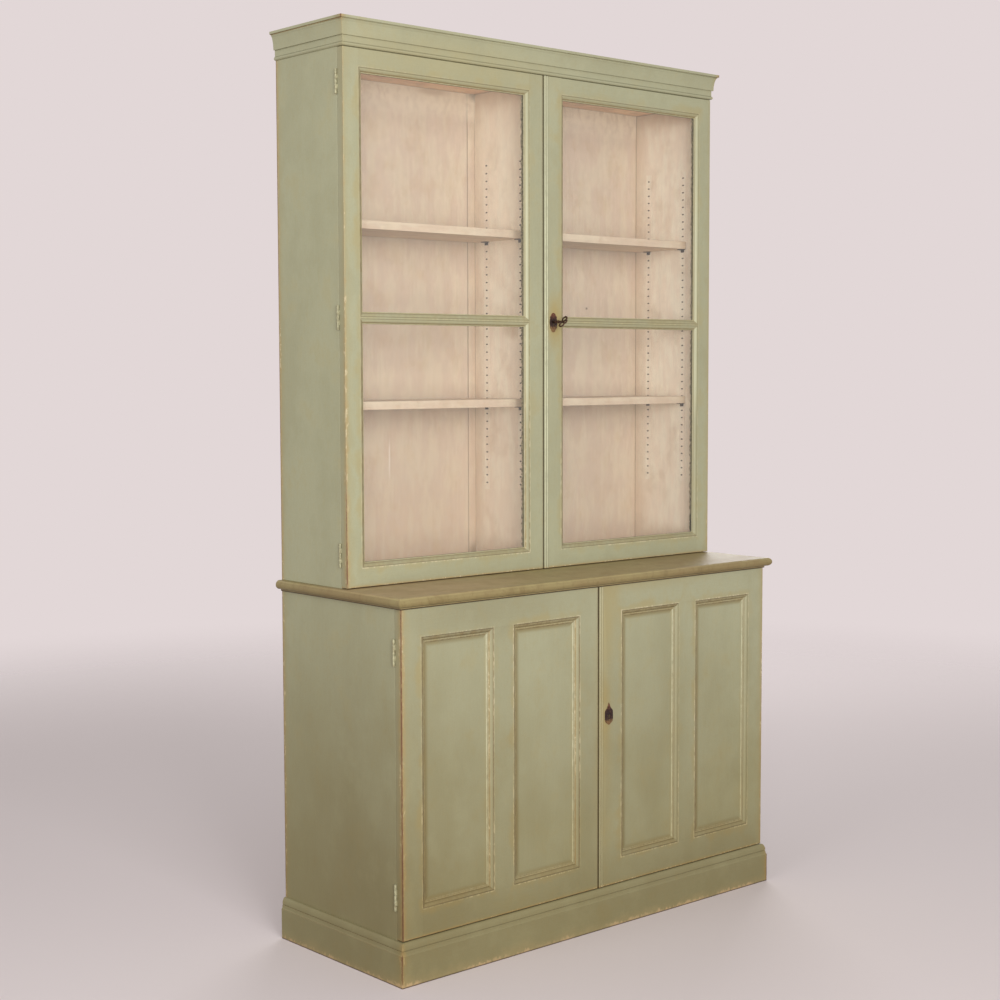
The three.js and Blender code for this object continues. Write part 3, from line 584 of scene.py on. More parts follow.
def chipped_iron():
    """Painted hinges, chipped pale where the knuckles rub."""
    iron = Material("painted_iron", IRON_PAINT)
    chips = iron.place.noise(380, 130, 4, 0.7)
    iron.over(IRON_CHIP, chips.fade(0.46, 0.54, 0.0, 0.9))
    iron.over(GLAZE_AND_SHADE, iron.place.noise(150, 120, 4, 0.6).fade(0.5, 0.66, 0.0, 0.4))
    iron.bump(chips, 0.12, 0.6)
    return iron.finish(0.6)


def window_glass():
    glass = Material("glass", CLEAR_GLASS)
    glass.shader.inputs["Alpha"].default_value = 0.06
    glass.shader.inputs["IOR"].default_value = 1.5
    return glass.finish(glass.place.noise(9, 9).fade(0.3, 0.7, 0.03, 0.09))


def hole_dirt():
    """The inside of a hole, grimy and unlit."""
    dirt = Material("hole", DARK_DIRT_AND_SHADE)
    dirt.over(DARK_GLAZE_AND_SHADE, dirt.place.noise(400, 400))
    return dirt.finish(0.9)


def old_putty():
    putty = Material("putty", PUTTY_DEEP)
    lumps = putty.place.noise(180, 180, 4, 0.6)
    putty.over(PUTTY, lumps.fade(0.35, 0.6))
    putty.bump(lumps, 0.4, 0.7)
    return putty.finish(0.8)


# Places taken from the frame
def middle_of(node):
    low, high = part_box(node)
    return (low + high) / 2


UPPER_LOCK = middle_of("upper_escutcheon")
LOWER_LOCK = middle_of("lower_escutcheon")
UPPER_SIDE = {side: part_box(f"upper_{side}_side") for side, sign in SIDES}
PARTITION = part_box("upper_partition")
INNER_HALF = UPPER_SIDE["right"][0].x
BACK_Y = UPPER_SIDE["right"][1].y
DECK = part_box("upper_floor")[1].z
WORKTOP_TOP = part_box("worktop")[1].z
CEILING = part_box("upper_top")[0].z

# Stains, painted light and painted shade, each with its middle and its reach along X, Y and Z in
# millimetres, its strength and its tint
UPPER_LOCK_MM = UPPER_LOCK / MM
LOWER_LOCK_MM = LOWER_LOCK / MM
BACK_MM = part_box("upper_back")[0].y / MM
PARTITION_MM = PARTITION[0].x / MM
DECK_MM = DECK / MM
CEILING_MM = CEILING / MM
LOCK_SPOTS = (
    ((UPPER_LOCK_MM.x + 6, UPPER_LOCK_MM.y, UPPER_LOCK_MM.z), (40, 60, 100), 0.9, OCHRE),
    ((LOWER_LOCK_MM.x - 14, LOWER_LOCK_MM.y, LOWER_LOCK_MM.z), (26, 60, 120), 0.6, OCHRE),
)
# Ochre stains, and olive painted shade that darkens the lower case towards the floor, on the left, under
# the worktop and down the middle
LOWER_STAINS_AND_SHADE = (
    ((300, -235, 50), (1500, 60, 230), 0.42, OLIVE_SHADE),
    ((16, -225, 520), (44, 30, 520), 0.5, OCHRE),
    ((40, -225, 800), (60, 30, 170), 0.42, OCHRE),
    ((180, -225, 872), (330, 30, 44), 0.4, OCHRE),
    ((-330, -225, 834), (420, 30, 96), 0.32, OLIVE_SHADE),
    ((-40, -225, 520), (60, 30, 460), 0.2, OLIVE_SHADE),
    ((200, -225, 500), (430, 60, 560), 0.16, OLIVE_SHADE),
    ((-620, -220, 420), (780, 800, 640), 0.34, OLIVE_SHADE),
    ((-640, -60, 60), (420, 520, 460), 0.34, OLIVE_SHADE),
)
# Painted shade low in the upper case, over its floor
LOW_BAY_SHADE = ((0, BACK_MM, DECK_MM), (1400, 600, 500), 0.2, INTERIOR_STAIN_AND_SHADE)
# Painted light under the ceiling, painted shade on the left of the back and in its corners by the
# partition, a few stains, a mark and a scratch
BACK_STAINS_AND_PAINTED_LIGHT = (
    ((-330, BACK_MM, 1450), (460, 20, 900), 0.12, INTERIOR_STAIN_AND_SHADE),
    ((-330, BACK_MM, 920), (420, 20, 260), 0.2, INTERIOR_STAIN_AND_SHADE),
    ((PARTITION_MM, BACK_MM, DECK_MM + 8), (36, 20, 34), 0.75, WORKTOP_STAIN_AND_SHADE),
    LOW_BAY_SHADE,
    ((-300, BACK_MM, CEILING_MM), (900, 20, 90), 0.95, PAINTED_LIGHT_CREAM),
    ((300, BACK_MM, CEILING_MM), (900, 20, 90), 0.95, PAINTED_LIGHT_CREAM),
    ((PARTITION_MM, BACK_MM, CEILING_MM), (40, 20, 26), 0.6, WORKTOP_STAIN_AND_SHADE),
    ((-150, BACK_MM, CEILING_MM - 6), (80, 20, 16), 0.5, INTERIOR_STAIN_AND_SHADE),
    ((402, BACK_MM, 1568), (6, 20, 5), 0.9, DARK_DIRT_AND_SHADE),
    ((-296, BACK_MM, 1173), (3.5, 20, 66), 0.6, PALE_SCRATCH),
)
# Painted shade low down, painted light at the top of the partition, and the painted shadow of the glazing
# bar on it
SIDE_PAINTED_LIGHT_AND_SHADE = (
    LOW_BAY_SHADE,
    ((PARTITION_MM, 60, 2000), (30, 260, 500), 0.4, PAINTED_LIGHT_CREAM),
    ((PARTITION_MM, 76, 1500), (20, 60, 34), 0.55, INTERIOR_STAIN_AND_SHADE),
)
WORKTOP_SPOTS = (((-520, -120, 891), (520, 260, 6), 0.45, WORN_TOP),)
CORNICE_SPOTS = (
    ((-639, -34, 2196), (20, 26, 14), 0.6, GLAZE_AND_SHADE),
    ((-320, -25, 2130), (520, 60, 80), 0.3, OCHRE),
)

GREEN_SPOTS = LOCK_SPOTS + LOWER_STAINS_AND_SHADE + CORNICE_SPOTS
GREEN_PAINT = GreenPaint("green_paint", GREEN, GREEN_DEEP, OCHRE, 800, GREEN_SPOTS).material
# A copy of the green paint for the lower sides, with its painted shade reaching higher up from the floor
SHADED_SIDE_PAINT = GreenPaint("green_side_paint", GREEN, GREEN_DEEP, OCHRE, 950, LOWER_STAINS_AND_SHADE).material
WORKTOP_PAINT = GreenPaint(
    "worktop_paint", WORKTOP, WORKTOP_DEEP, WORKTOP_STAIN_AND_SHADE, 100, WORKTOP_SPOTS, roughness=0.48, blotch=0.5,
).material
INTERIOR_PAINT = cream_paint("interior_paint", INTERIOR, INTERIOR_ROSY, spots=BACK_STAINS_AND_PAINTED_LIGHT)
SHELF_PAINT = cream_paint("shelf_paint", SHELF, SHELF_ROSY)
# Painted light: the lighter copy of the interior cream for the inner sides and the partition
INNER_SIDE_LIT_PAINT = cream_paint(
    "inner_side_paint", INNER_SIDE_LIT_CREAM, INNER_SIDE_LIT_ROSY, spots=SIDE_PAINTED_LIGHT_AND_SHADE, nook_share=0.42, nook_reach=60,
)
PEG_LIT_PAINT = cream_paint("peg_strip_paint", PEG_LIT_CREAM, PEG_LIT_ROSY)
# Painted warm bounce light on the ceiling
CEILING_WARM_LIT_PAINT = cream_paint("ceiling_paint", CEILING_WARM_LIT_CREAM, CEILING_WARM_LIT_ROSY, GLAZE_AND_SHADE)
UPPER_BRASS = keyhole_brass("upper_lock_brass", UPPER_LOCK, 23)
LOWER_BRASS = keyhole_brass("lower_lock_brass", LOWER_LOCK, 28)
BARE = bare_wood()
BRONZE_METAL = dark_bronze()
IRON = chipped_iron()
GLASS = window_glass()
HOLE = hole_dirt()
OLD_PUTTY = old_putty()


# Shapes
def tidy_faces(shape):
    bmesh.ops.dissolve_limit(shape, angle_limit=FLAT_ANGLE, verts=shape.verts, edges=shape.edges)
    shape.normal_update()


def cad_shape(node):
    """A copy of a CAD node's shape, with its triangles joined back into flat faces."""
    shape = bmesh.new()
    shape.from_mesh(frame["nodes"][node].data)
    bmesh.ops.remove_doubles(shape, verts=shape.verts, dist=WELD)
    tidy_faces(shape)
    return shape


def ease(shape, width, chosen=lambda edge: True):
    """Rounds over the sharp edges that are chosen."""
    edges = [
        edge for edge in shape.edges
        if len(edge.link_faces) == 2 and edge.calc_face_angle(0) > SHARP_ANGLE and chosen(edge)
    ]
    bmesh.ops.bevel(
        shape, geom=edges, offset=width, offset_type="OFFSET", segments=2, profile=0.5,
        affect="EDGES", clamp_overlap=True,
    )
    shape.normal_update()


def rounded_box(one_corner, other_corner, width):
    low = Vector(map(min, one_corner, other_corner))
    high = Vector(map(max, one_corner, other_corner))
    shape = bmesh.new()
    matrix = Matrix.Translation((low + high) / 2) @ Matrix.Diagonal((*(high - low), 1))
    bmesh.ops.create_cube(shape, size=1, matrix=matrix)
    ease(shape, width)
    return shape


def cylinder(radius, start, end, axis, middle, sides, ease_width):
    """A rod along Y or Z between two places, with its middle at the other two."""
    shape = bmesh.new()
    turn = {"y": Matrix.Rotation(-math.pi / 2, 4, "X"), "z": Matrix.Identity(4)}[axis]
    centre = Vector(middle)
    centre["xyz".index(axis)] = (start + end) / 2
    bmesh.ops.create_cone(
        shape, cap_ends=True, segments=sides, radius1=radius, radius2=radius, depth=abs(end - start),
        matrix=Matrix.Translation(centre) @ turn,
    )
    ease(shape, ease_width)
    return shape


def loft(rings, capped=False):
    """A skin over rings of points, from the last ring back to the first or capped at both ends."""
    shape = bmesh.new()
    made = [[shape.verts.new(point) for point in ring] for ring in rings]
    for a, b in zip(made, made[1:] + made[:0 if capped else 1]):
        for i in range(len(a)):
            shape.faces.new((a[i - 1], a[i], b[i], b[i - 1]))
    if capped:
        shape.faces.new(made[0])
        shape.faces.new(made[-1][::-1])
    bmesh.ops.recalc_face_normals(shape, faces=shape.faces)
    return shape


def joined(shapes):
    """One shape made of several."""
    whole = bmesh.new()
    holder = bpy.data.meshes.new("holder")
    for shape in shapes:
        shape.to_mesh(holder)
        whole.from_mesh(holder)
        shape.free()
    bpy.data.meshes.remove(holder)
    return whole


def cut(shape, place, direction, **settings):
    """Cuts the faces of a shape along a plane."""
    geometry = shape.verts[:] + shape.edges[:] + shape.faces[:]
    bmesh.ops.bisect_plane(shape, geom=geometry, plane_co=place, plane_no=direction, **settings)


def set_faces(shape, chosen):
    """Gives the chosen faces the second material."""
    for face in shape.faces:
        if chosen(face):
            face.material_index = 1


# Pieces
def add_object(name, data):
    made = bpy.data.objects.new(name, data)
    bpy.context.scene.collection.objects.link(made)
    return made


def mesh_of(name, shape):
    mesh = bpy.data.meshes.new(name)
    shape.to_mesh(mesh)
    shape.free()
    return mesh


def piece(name, shape, materials, body, replaced=()):
    """Turns a shape into an object that rides on a body and stands for CAD nodes."""
    mesh = mesh_of(name, shape)
    for material in materials:
        mesh.materials.append(material)
    mesh.shade_smooth()
    mesh.set_sharp_from_angle(angle=SHARP_ANGLE)
    made = add_object(name, mesh)
    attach(made, body)
    if replaced:
        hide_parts(*replaced)
    return made


def stands_for(node, shape, *materials):
    return piece("looks_" + node, shape, materials, BODY_OF[node], (node,))


def write_grain(made, direction):
    """Stores where each point lies, with the run of the grain as the third number."""
    shift = random.Random(made.name)
    offset = Vector([shift.uniform(-9, 9) for _ in range(3)])
    turned = {"x": (1, 2, 0), "z": (0, 1, 2)}[direction]
    layer = made.data.attributes.new("grain", "FLOAT_VECTOR", "POINT")
    for vertex, item in zip(made.data.vertices, layer.data):
        item.vector = Vector([vertex.co[axis] for axis in turned]) + offset


def write_corners(made, name, rule):
    """Stores what a rule gives at each corner of each face: four distances, or two depths."""
    mesh = made.data
    deep = name == "depths"
    layer = mesh.attributes.new(name, "FLOAT_VECTOR" if deep else "FLOAT_COLOR", "CORNER")
    for face in mesh.polygons:
        for loop in face.loop_indices:
            values = rule(mesh.vertices[mesh.loops[loop].vertex_index].co, face.normal)
            if deep:
                layer.data[loop].vector = (*values, 0.0)
            else:
                layer.data[loop].color = [STORED_MIDDLE + STORED_SHARE * value for value in values]


def always(*values):
    """A rule that gives the same values everywhere."""
    return lambda point, normal: values


NOWHERE = always(FAR, FAR, FAR, FAR)
OUTSIDE = always(-FAR, -FAR, -FAR, -FAR)
LEVEL = always(0.0, 0.0)


def field(low, high, axis=0):
    """A rule that gives the distances to the sides of a rectangle, along X or Y and along Z."""
    def rule(point, normal):
        return (point[axis] - low[axis], high[axis] - point[axis], point[2] - low[2], high[2] - point[2])
    return rule


def wrapped_field(low, high):
    """A rule for a band that goes round corners: along X on the front and along Y on the sides."""
    def rule(point, normal):
        if abs(normal.z) > 0.95:
            return (FAR, FAR, FAR, FAR)
        if abs(normal.x) > 0.7:
            return (point.y - low.y, FAR, FAR, FAR)
        return (point.x - low.x, FAR, FAR, high.x - point.x)
    return rule


def dress(made, direction, rims=NOWHERE, openings=(OUTSIDE, OUTSIDE), depths=LEVEL):
    """Stores what the paint needs to know about a piece, and keeps flat faces flat beside round edges."""
    write_grain(made, direction)
    write_corners(made, "rims", rims)
    write_corners(made, "opening_a", openings[0])
    write_corners(made, "opening_b", openings[1])
    write_corners(made, "depths", depths)
    made.modifiers.new("even_shading", "WEIGHTED_NORMAL").keep_sharp = True


# Cases and boards
LONG_SIDE_EDGE = 100 * MM
LONG_MOULDING_EDGE = 60 * MM
MOULDING_EDGE = 0.5 * MM
SHELF_EDGE = 1.2 * MM
BOARD_REBATE = 10 * MM
STRIP_THICKNESS = 4.5 * MM
STRIP_OVERLAP = 0.5 * MM
STRIP_EDGE_SHADE = -1.0 * MM


def side_rims(sign, low, high, nook):
    """Distances to the corners inside a case side, and to its rear edge outside."""
    inner = field(Vector((0, low.y - FAR, nook[0])), Vector((0, high.y - BOARD_REBATE, nook[1])), 1)

    def rule(point, normal):
        if normal.x * sign < -0.5:
            return inner(point, normal)
        return (high.y - point.y if normal.y < 0.5 else FAR, FAR, FAR, FAR)
    return rule


def case_sides():
    """The sides are green outside and cream inside."""
    past_inner = 4 * MM
    for storey, paint in (("upper", GREEN_PAINT), ("lower", SHADED_SIDE_PAINT)):
        for side, sign in SIDES:
            node = f"{storey}_{side}_side"
            low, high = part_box(node)
            shape = cad_shape(node)
            ease(shape, EASED_EDGE, lambda edge: edge.calc_length() > LONG_SIDE_EDGE)
            reach = abs(low.x if sign > 0 else high.x) + past_inner

            def cream(face):
                middle = face.calc_center_median()
                return face.normal.x * sign < -0.5 or abs(middle.x) < reach and middle.y > low.y + MM

            set_faces(shape, cream)
            nook = (WORKTOP_TOP + BOARD, CEILING) if storey == "upper" else (low.z, high.z)
            dress(stands_for(node, shape, paint, INNER_SIDE_LIT_PAINT), "z", side_rims(sign, low, high, nook))


def board_nooks(node, back_front):
    """Distances to the corners of the bay that a board inside the upper case belongs to."""
    bays = ((-INNER_HALF, PARTITION[0].x), (PARTITION[1].x, INNER_HALF))

    def rule(point, normal):
        low_x, high_x = bays[0] if point.x < PARTITION[0].x + MM else bays[1]
        across = (point.x - low_x, high_x - point.x)
        upright = (point.z - DECK, CEILING - point.z)
        if node == "upper_partition":
            return (FAR, back_front - point.y, *upright)
        return (*across, *upright) if node == "upper_back" else (*across, back_front - point.y, FAR)
    return rule


def strip_edges(back_front):
    """Depths for the edges of the strip that covers the joint of the back boards: a negative relief that
    paints shade along them.
    """
    near, far = back_front - STRIP_THICKNESS, back_front + STRIP_OVERLAP

    def rule(point, normal):
        return (0.0, STRIP_EDGE_SHADE if abs(normal.x) > 0.9 and near < point.y < far else 0.0)
    return rule


def interior_boards():
    back_front = BACK_Y - BOARD_REBATE
    for node, direction, outward, inner in (
        ("upper_back", "z", (0, 1, 0), INTERIOR_PAINT), ("upper_floor", "x", None, INTERIOR_PAINT),
        ("upper_top", "x", (0, 0, 1), CEILING_WARM_LIT_PAINT), ("upper_partition", "z", None, INNER_SIDE_LIT_PAINT),
    ):
        shape = cad_shape(node)
        if node != "upper_partition":
            for corner in PARTITION:
                cut(shape, (corner.x, 0, 0), (1, 0, 0))
        if outward:
            set_faces(shape, lambda face: face.normal.dot(Vector(outward)) > 0.9)
        depths = strip_edges(back_front) if node == "upper_back" else LEVEL
        made = stands_for(node, shape, inner, BARE)
        dress(made, direction, board_nooks(node, back_front), depths=depths)
    for node in ("lower_floor", "cupboard_shelf", "lower_back"):
        outward, direction = (Vector((0, 1, 0)), "z") if node == "lower_back" else (Vector((0, 0, -1)), "x")
        shape = cad_shape(node)
        ease(shape, EASED_EDGE)
        set_faces(shape, lambda face: face.normal.dot(outward) > 0.9)
        dress(stands_for(node, shape, INTERIOR_PAINT, BARE), direction, field(*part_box(node)))


def shelf_rims(low, high):
    """Distances to the ends of a shelf, and to its rear except on its front edge."""
    def rule(point, normal):
        behind = FAR if normal.y < -0.7 else high.y - point.y
        return (point.x - low.x, high.x - point.x, behind, FAR)
    return rule


def shelves():
    for node in SHELVES:
        low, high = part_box(node)
        shape = rounded_box((low.x, low.y, high.z - BOARD), high, SHELF_EDGE)
        dress(stands_for(node, shape, SHELF_PAINT), "x", shelf_rims(low, high))


# Grooves and beads on the mouldings round the cases, which the paint lines with painted shade and painted
# highlight: their height, and how proud or deep, in millimetres
MOULDING_LINES = {
    "plinth": ((84.75, -0.6), (74.0, 0.4)),
    "cornice": ((2143.0, -0.55), (2158.0, -0.4), (2194.0, -0.35)),
    "worktop": ((863.9, -3.2), (866.0, 0.5), (868.2, -2.2), (887.5, 0.55)),
}
LINE_REACH = 1.8 * MM
LINE_HALF = 0.9 * MM
# Undersides get a pale value, which paints light on them
UNDERSIDE_LIGHT = 0.8 * MM
WORKTOP_RELIEF = -0.66 * MM


def moulding_depths(lines, plain):
    def rule(point, normal):
        for height, relief in lines:
            if abs(point.z - height * MM) < LINE_HALF:
                return (0.0, relief * MM)
        if normal.z < -0.95:
            return (0.0, UNDERSIDE_LIGHT)
        return (0.0, plain if normal.z < 0.95 else 0.0)
    return rule


def carcase_mouldings():
    for node, lines in MOULDING_LINES.items():
        shape = cad_shape(node)
        for height, _ in lines:
            for reach in (-LINE_REACH, LINE_REACH):
                cut(shape, (0, 0, height * MM + reach), (0, 0, 1))
        ease(shape, MOULDING_EDGE, lambda edge: edge.calc_length() > LONG_MOULDING_EDGE)
        board = node == "worktop"
        made = stands_for(node, shape, WORKTOP_PAINT if board else GREEN_PAINT)
        rims = NOWHERE if board else wrapped_field(*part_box(node))
        dress(made, "x", rims, depths=moulding_depths(lines, WORKTOP_RELIEF if board else 0.0))


# Doors
WIDEST_DOOR = 622 * MM
REED_STRIP = 16 * MM
REED_DEPTH = 2.2 * MM
UPPER_DOOR_RISE = 1 * MM
RAIL_STRETCH = 0.4 * MM
KNUCKLE_TRIM = 0.02 * MM
KEYHOLE_HALF_WIDTH = 12 * MM
KEYHOLE_HALF_HEIGHT = 18 * MM
KEYHOLE_DEPTH = 18 * MM

# Reliefs that paint shade on the edges of a door, and how much further its arrises seem from their wear
HUNG_EDGE_SHADE = -0.55 * MM
UPPER_MEETING_SHADE = -1.0 * MM
LOWER_MEETING_SHADE = -1.6 * MM
HIGH_WEAR_FADE = 9 * MM
RIGHT_WEAR_FADE = 3 * MM
FOOT_WEAR_SHARE = 2.5
FACE_PARTS = {
    "hanging_stile": "z", "meeting_stile": "z", "bottom_rail": "x", "top_rail": "x",
    "muntin": "z", "glazing_bar": "x",
}


class Door:
    """The places on one door that its pieces and its wear are worked out from."""

    def __init__(self, storey, side, sign):
        self.label = f"{storey}_{side}_door"
        self.upper = storey == "upper"
        self.sign = sign
        hung, meeting = self.box("hanging_stile"), self.box("meeting_stile")
        outer, inner = (0, 1) if sign < 0 else (1, 0)
        self.face = self.box("top_rail")[0].y
        past_pin = HINGE_PIN_OFFSET + HINGE_BARREL_RADIUS
        self.edge_x = sign * min(abs(hung[outer].x) - past_pin, WIDEST_DOOR)
        self.meeting_x = meeting[inner].x
        self.low = Vector((min(self.edge_x, self.meeting_x), 0, hung[0].z))
        self.high = Vector((max(self.edge_x, self.meeting_x), 0, hung[1].z))
        self.openings = self.find_openings(*sorted((hung, meeting), key=lambda box: box[0].x))

    def box(self, part):
        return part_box(f"{self.label}_{part}")

    def find_openings(self, left, right):
        """The rectangles that the mouldings are worked round, out to their quirks."""
        def rectangle(x0, z0, x1, z1):
            round_it = Vector((STICKING_WIDTH, 0, STICKING_WIDTH))
            return Vector((x0, 0, z0)) - round_it, Vector((x1, 0, z1)) + round_it

        x0, x1 = left[1].x, right[0].x
        bottom, top = self.box("bottom_rail")[1].z, self.box("top_rail")[0].z
        low, high = self.box("glazing_bar" if self.upper else "muntin")
        if self.upper:
            return rectangle(x0, bottom, x1, low.z), rectangle(x0, high.z, x1, top)
        return rectangle(x0, bottom, low.x, top), rectangle(high.x, bottom, x1, top)

    def rims(self, point, normal):
        """Distances to the worn arrises, the hung side and the foot, and to the meeting edge at the seam,
        where shade is painted.

        The wear on the hung side of an upper door fades out towards its top, and a right-hand door
        has less of it.
        """
        left_hand = self.sign < 0
        back = point.y - self.face
        hung = back if normal.x * self.sign > 0.7 else abs(point.x - self.edge_x)
        if self.upper:
            hung += HIGH_WEAR_FADE * (point.z - self.low.z) / (self.high.z - self.low.z)
        seam = self.high.x - point.x if left_hand and abs(normal.x) < 0.7 else FAR
        foot = back if normal.z < -0.7 else (point.z - self.low.z) * FOOT_WEAR_SHARE
        return (hung if left_hand else hung + RIGHT_WEAR_FADE, seam, foot, FAR)

    def depths(self, point, normal):
        """Depth below the face within the openings, and the relief of the reeds, with a negative relief
        that paints shade on the meeting edge and the hung edge.
        """
        sunk = point.y - self.face
        if normal.x * self.sign < -0.95 and abs(point.x - self.meeting_x) < 2 * TOUCH:
            return (0.0, UPPER_MEETING_SHADE if self.upper else LOWER_MEETING_SHADE)
        if normal.x * self.sign > 0.95:
            return (0.0, HUNG_EDGE_SHADE)
        if self.sign > 0 and point.x < self.meeting_x + REED_STRIP:
            return (0.0, -sunk if sunk < REED_DEPTH else 0.0)
        first, last = self.openings[0][0].x - 2 * TOUCH, self.openings[1][1].x + 2 * TOUCH
        return (sunk if first < point.x < last else 0.0, 0.0)

    def outer_edge(self, edge):
        """Whether an edge lies along the outline of the door."""
        return any(
            all(abs(vertex.co[axis] - bound[axis]) < TOUCH for vertex in edge.verts)
            for axis in (0, 2) for bound in (self.low, self.high)
        )

    def in_keyhole(self, face):
        """Whether a face of a stile is a wall or the bottom of its keyhole."""
        lock = UPPER_LOCK if self.upper else LOWER_LOCK
        centre = face.calc_center_median()
        return (
            abs(centre.x - lock.x) < KEYHOLE_HALF_WIDTH and abs(centre.z - lock.z) < KEYHOLE_HALF_HEIGHT
            and self.face + 2 * TOUCH < centre.y < self.face + KEYHOLE_DEPTH
        )

    def dress(self, made, direction):
        dress(made, direction, self.rims, [field(*opening) for opening in self.openings], self.depths)


def frame_piece(door, part, direction):
    """A stile, a rail or a bar of a door, with its outer edges eased."""
    node = f"{door.label}_{part}"
    shape = cad_shape(node)
    if part == "hanging_stile":
        trim_knuckles(shape, door)
    elif part != "meeting_stile":
        stretch_ends(shape, node, "xyz".index(direction))
    ease(shape, EASED_EDGE, door.outer_edge)
    if door.upper:
        for vertex in shape.verts:
            if vertex.co.z > door.high.z - UPPER_DOOR_RISE:
                vertex.co.z += UPPER_DOOR_RISE
    if part == "meeting_stile" and door.sign > 0:
        set_faces(shape, door.in_keyhole)
    door.dress(stands_for(node, shape, GREEN_PAINT, HOLE), direction)


def doors():
    for storey in ("upper", "lower"):
        for side, sign in SIDES:
            door = Door(storey, side, sign)
            for part, direction in FACE_PARTS.items():
                if part != ("muntin" if door.upper else "glazing_bar"):
                    frame_piece(door, part, direction)
            if door.upper:
                for part in ("lower_pane", "upper_pane"):
                    node = f"{door.label}_{part}"
                    stands_for(node, cad_shape(node), GLASS)
                    putty(node)
                continue
            for part in ("outer_panel", "inner_panel"):
                node = f"{door.label}_{part}"
                door.dress(stands_for(node, cad_shape(node), GREEN_PAINT), "z")
            for place, opening in zip(("left", "right"), door.openings):
                shape = slip(*opening, door.face + STICKING_DEPTH)
                name = f"{door.label}_{place}_slip"
                door.dress(piece(name, shape, (GREEN_PAINT,), door.label), "z")


def slip(low, high, back):
    """A thin mitred slip round a panel, inside the moulding of its frame, falling away to the panel."""
    # How far in from the moulding, and how far behind the front of the panel, each line of the slip lies
    crest = 0.55 * SLIP_WIDTH
    lines = ((0.0, -0.35 * MM), (0.0, -2.05 * MM), (crest, -1.65 * MM), (SLIP_WIDTH, 0.2 * MM))
    tucked = 0.3 * MM
    rings = []
    for inward, y in lines:
        inset = STICKING_WIDTH + inward - tucked
        x0, x1, z0, z1 = low.x + inset, high.x - inset, low.z + inset, high.z - inset
        rings.append([(x, back + y, z) for x, z in ((x0, z0), (x1, z0), (x1, z1), (x0, z1))])
    return loft(rings)


def stretch_ends(shape, node, axis):
    """Draws the ends of a rail out into the stiles, which closes the hairline where they meet."""
    for vertex in shape.verts:
        for corner, sign in zip(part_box(node), (-1, 1)):
            if abs(vertex.co[axis] - corner[axis]) < TOUCH:
                vertex.co[axis] += sign * RAIL_STRETCH


def trim_knuckles(shape, door):
    """Cuts the door's half of the hinges off the stile's copy. The looks have hinges of their own."""
    place = (door.edge_x - door.sign * KNUCKLE_TRIM, 0, 0)
    cut(shape, place, (door.sign, 0, 0), clear_outer=True)
    open_edges = [edge for edge in shape.edges if edge.is_boundary]
    bmesh.ops.holes_fill(shape, edges=open_edges, sides=0)
    tidy_faces(shape)


def putty(node):
    """A fillet of old putty behind a pane. It shows past the moulding on the right, with a rough edge."""
    low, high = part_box(node)
    depth = 7 * MM
    steps = 120
    plain = STICKING_WIDTH
    past_moulding = (1.5, 5.5)
    rough = random.Random(node)
    corners = [(low.x, low.z, plain, plain), (high.x, low.z, -plain, plain)]
    for i in range(1, steps):
        z = low.z + plain + (high.z - low.z - 2 * plain) * i / steps
        corners.append((high.x, z, -plain - rough.uniform(*past_moulding) * MM, 0.0))
    corners += [(high.x, high.z, -plain, -plain), (low.x, high.z, plain, -plain)]
    shape = loft([
        [(x, high.y, z), (x + reach_x, high.y, z + reach_z), (x, high.y + depth, z)]
        for x, z, reach_x, reach_z in corners
    ])
    piece(node + "_putty", shape, (OLD_PUTTY,), BODY_OF[node])


# Peg strips and clips
def peg_strips():
    """Strips of slots let into the sides and the partition, painted with them."""
    for label, x, facing in (
        ("left_side", UPPER_SIDE["left"][1].x, 1), ("partition_left", PARTITION[0].x, -1),
        ("partition_right", PARTITION[1].x, 1), ("right_side", UPPER_SIDE["right"][0].x, -1),
    ):
        for row, place in zip(("rear", "front"), PEG_ROWS):
            shape = slotted_strip(x, facing, BACK_Y - place)
            name = f"peg_strip_{label}_{row}"
            dress(piece(name, shape, (PEG_LIT_PAINT, HOLE), "case"), "z")


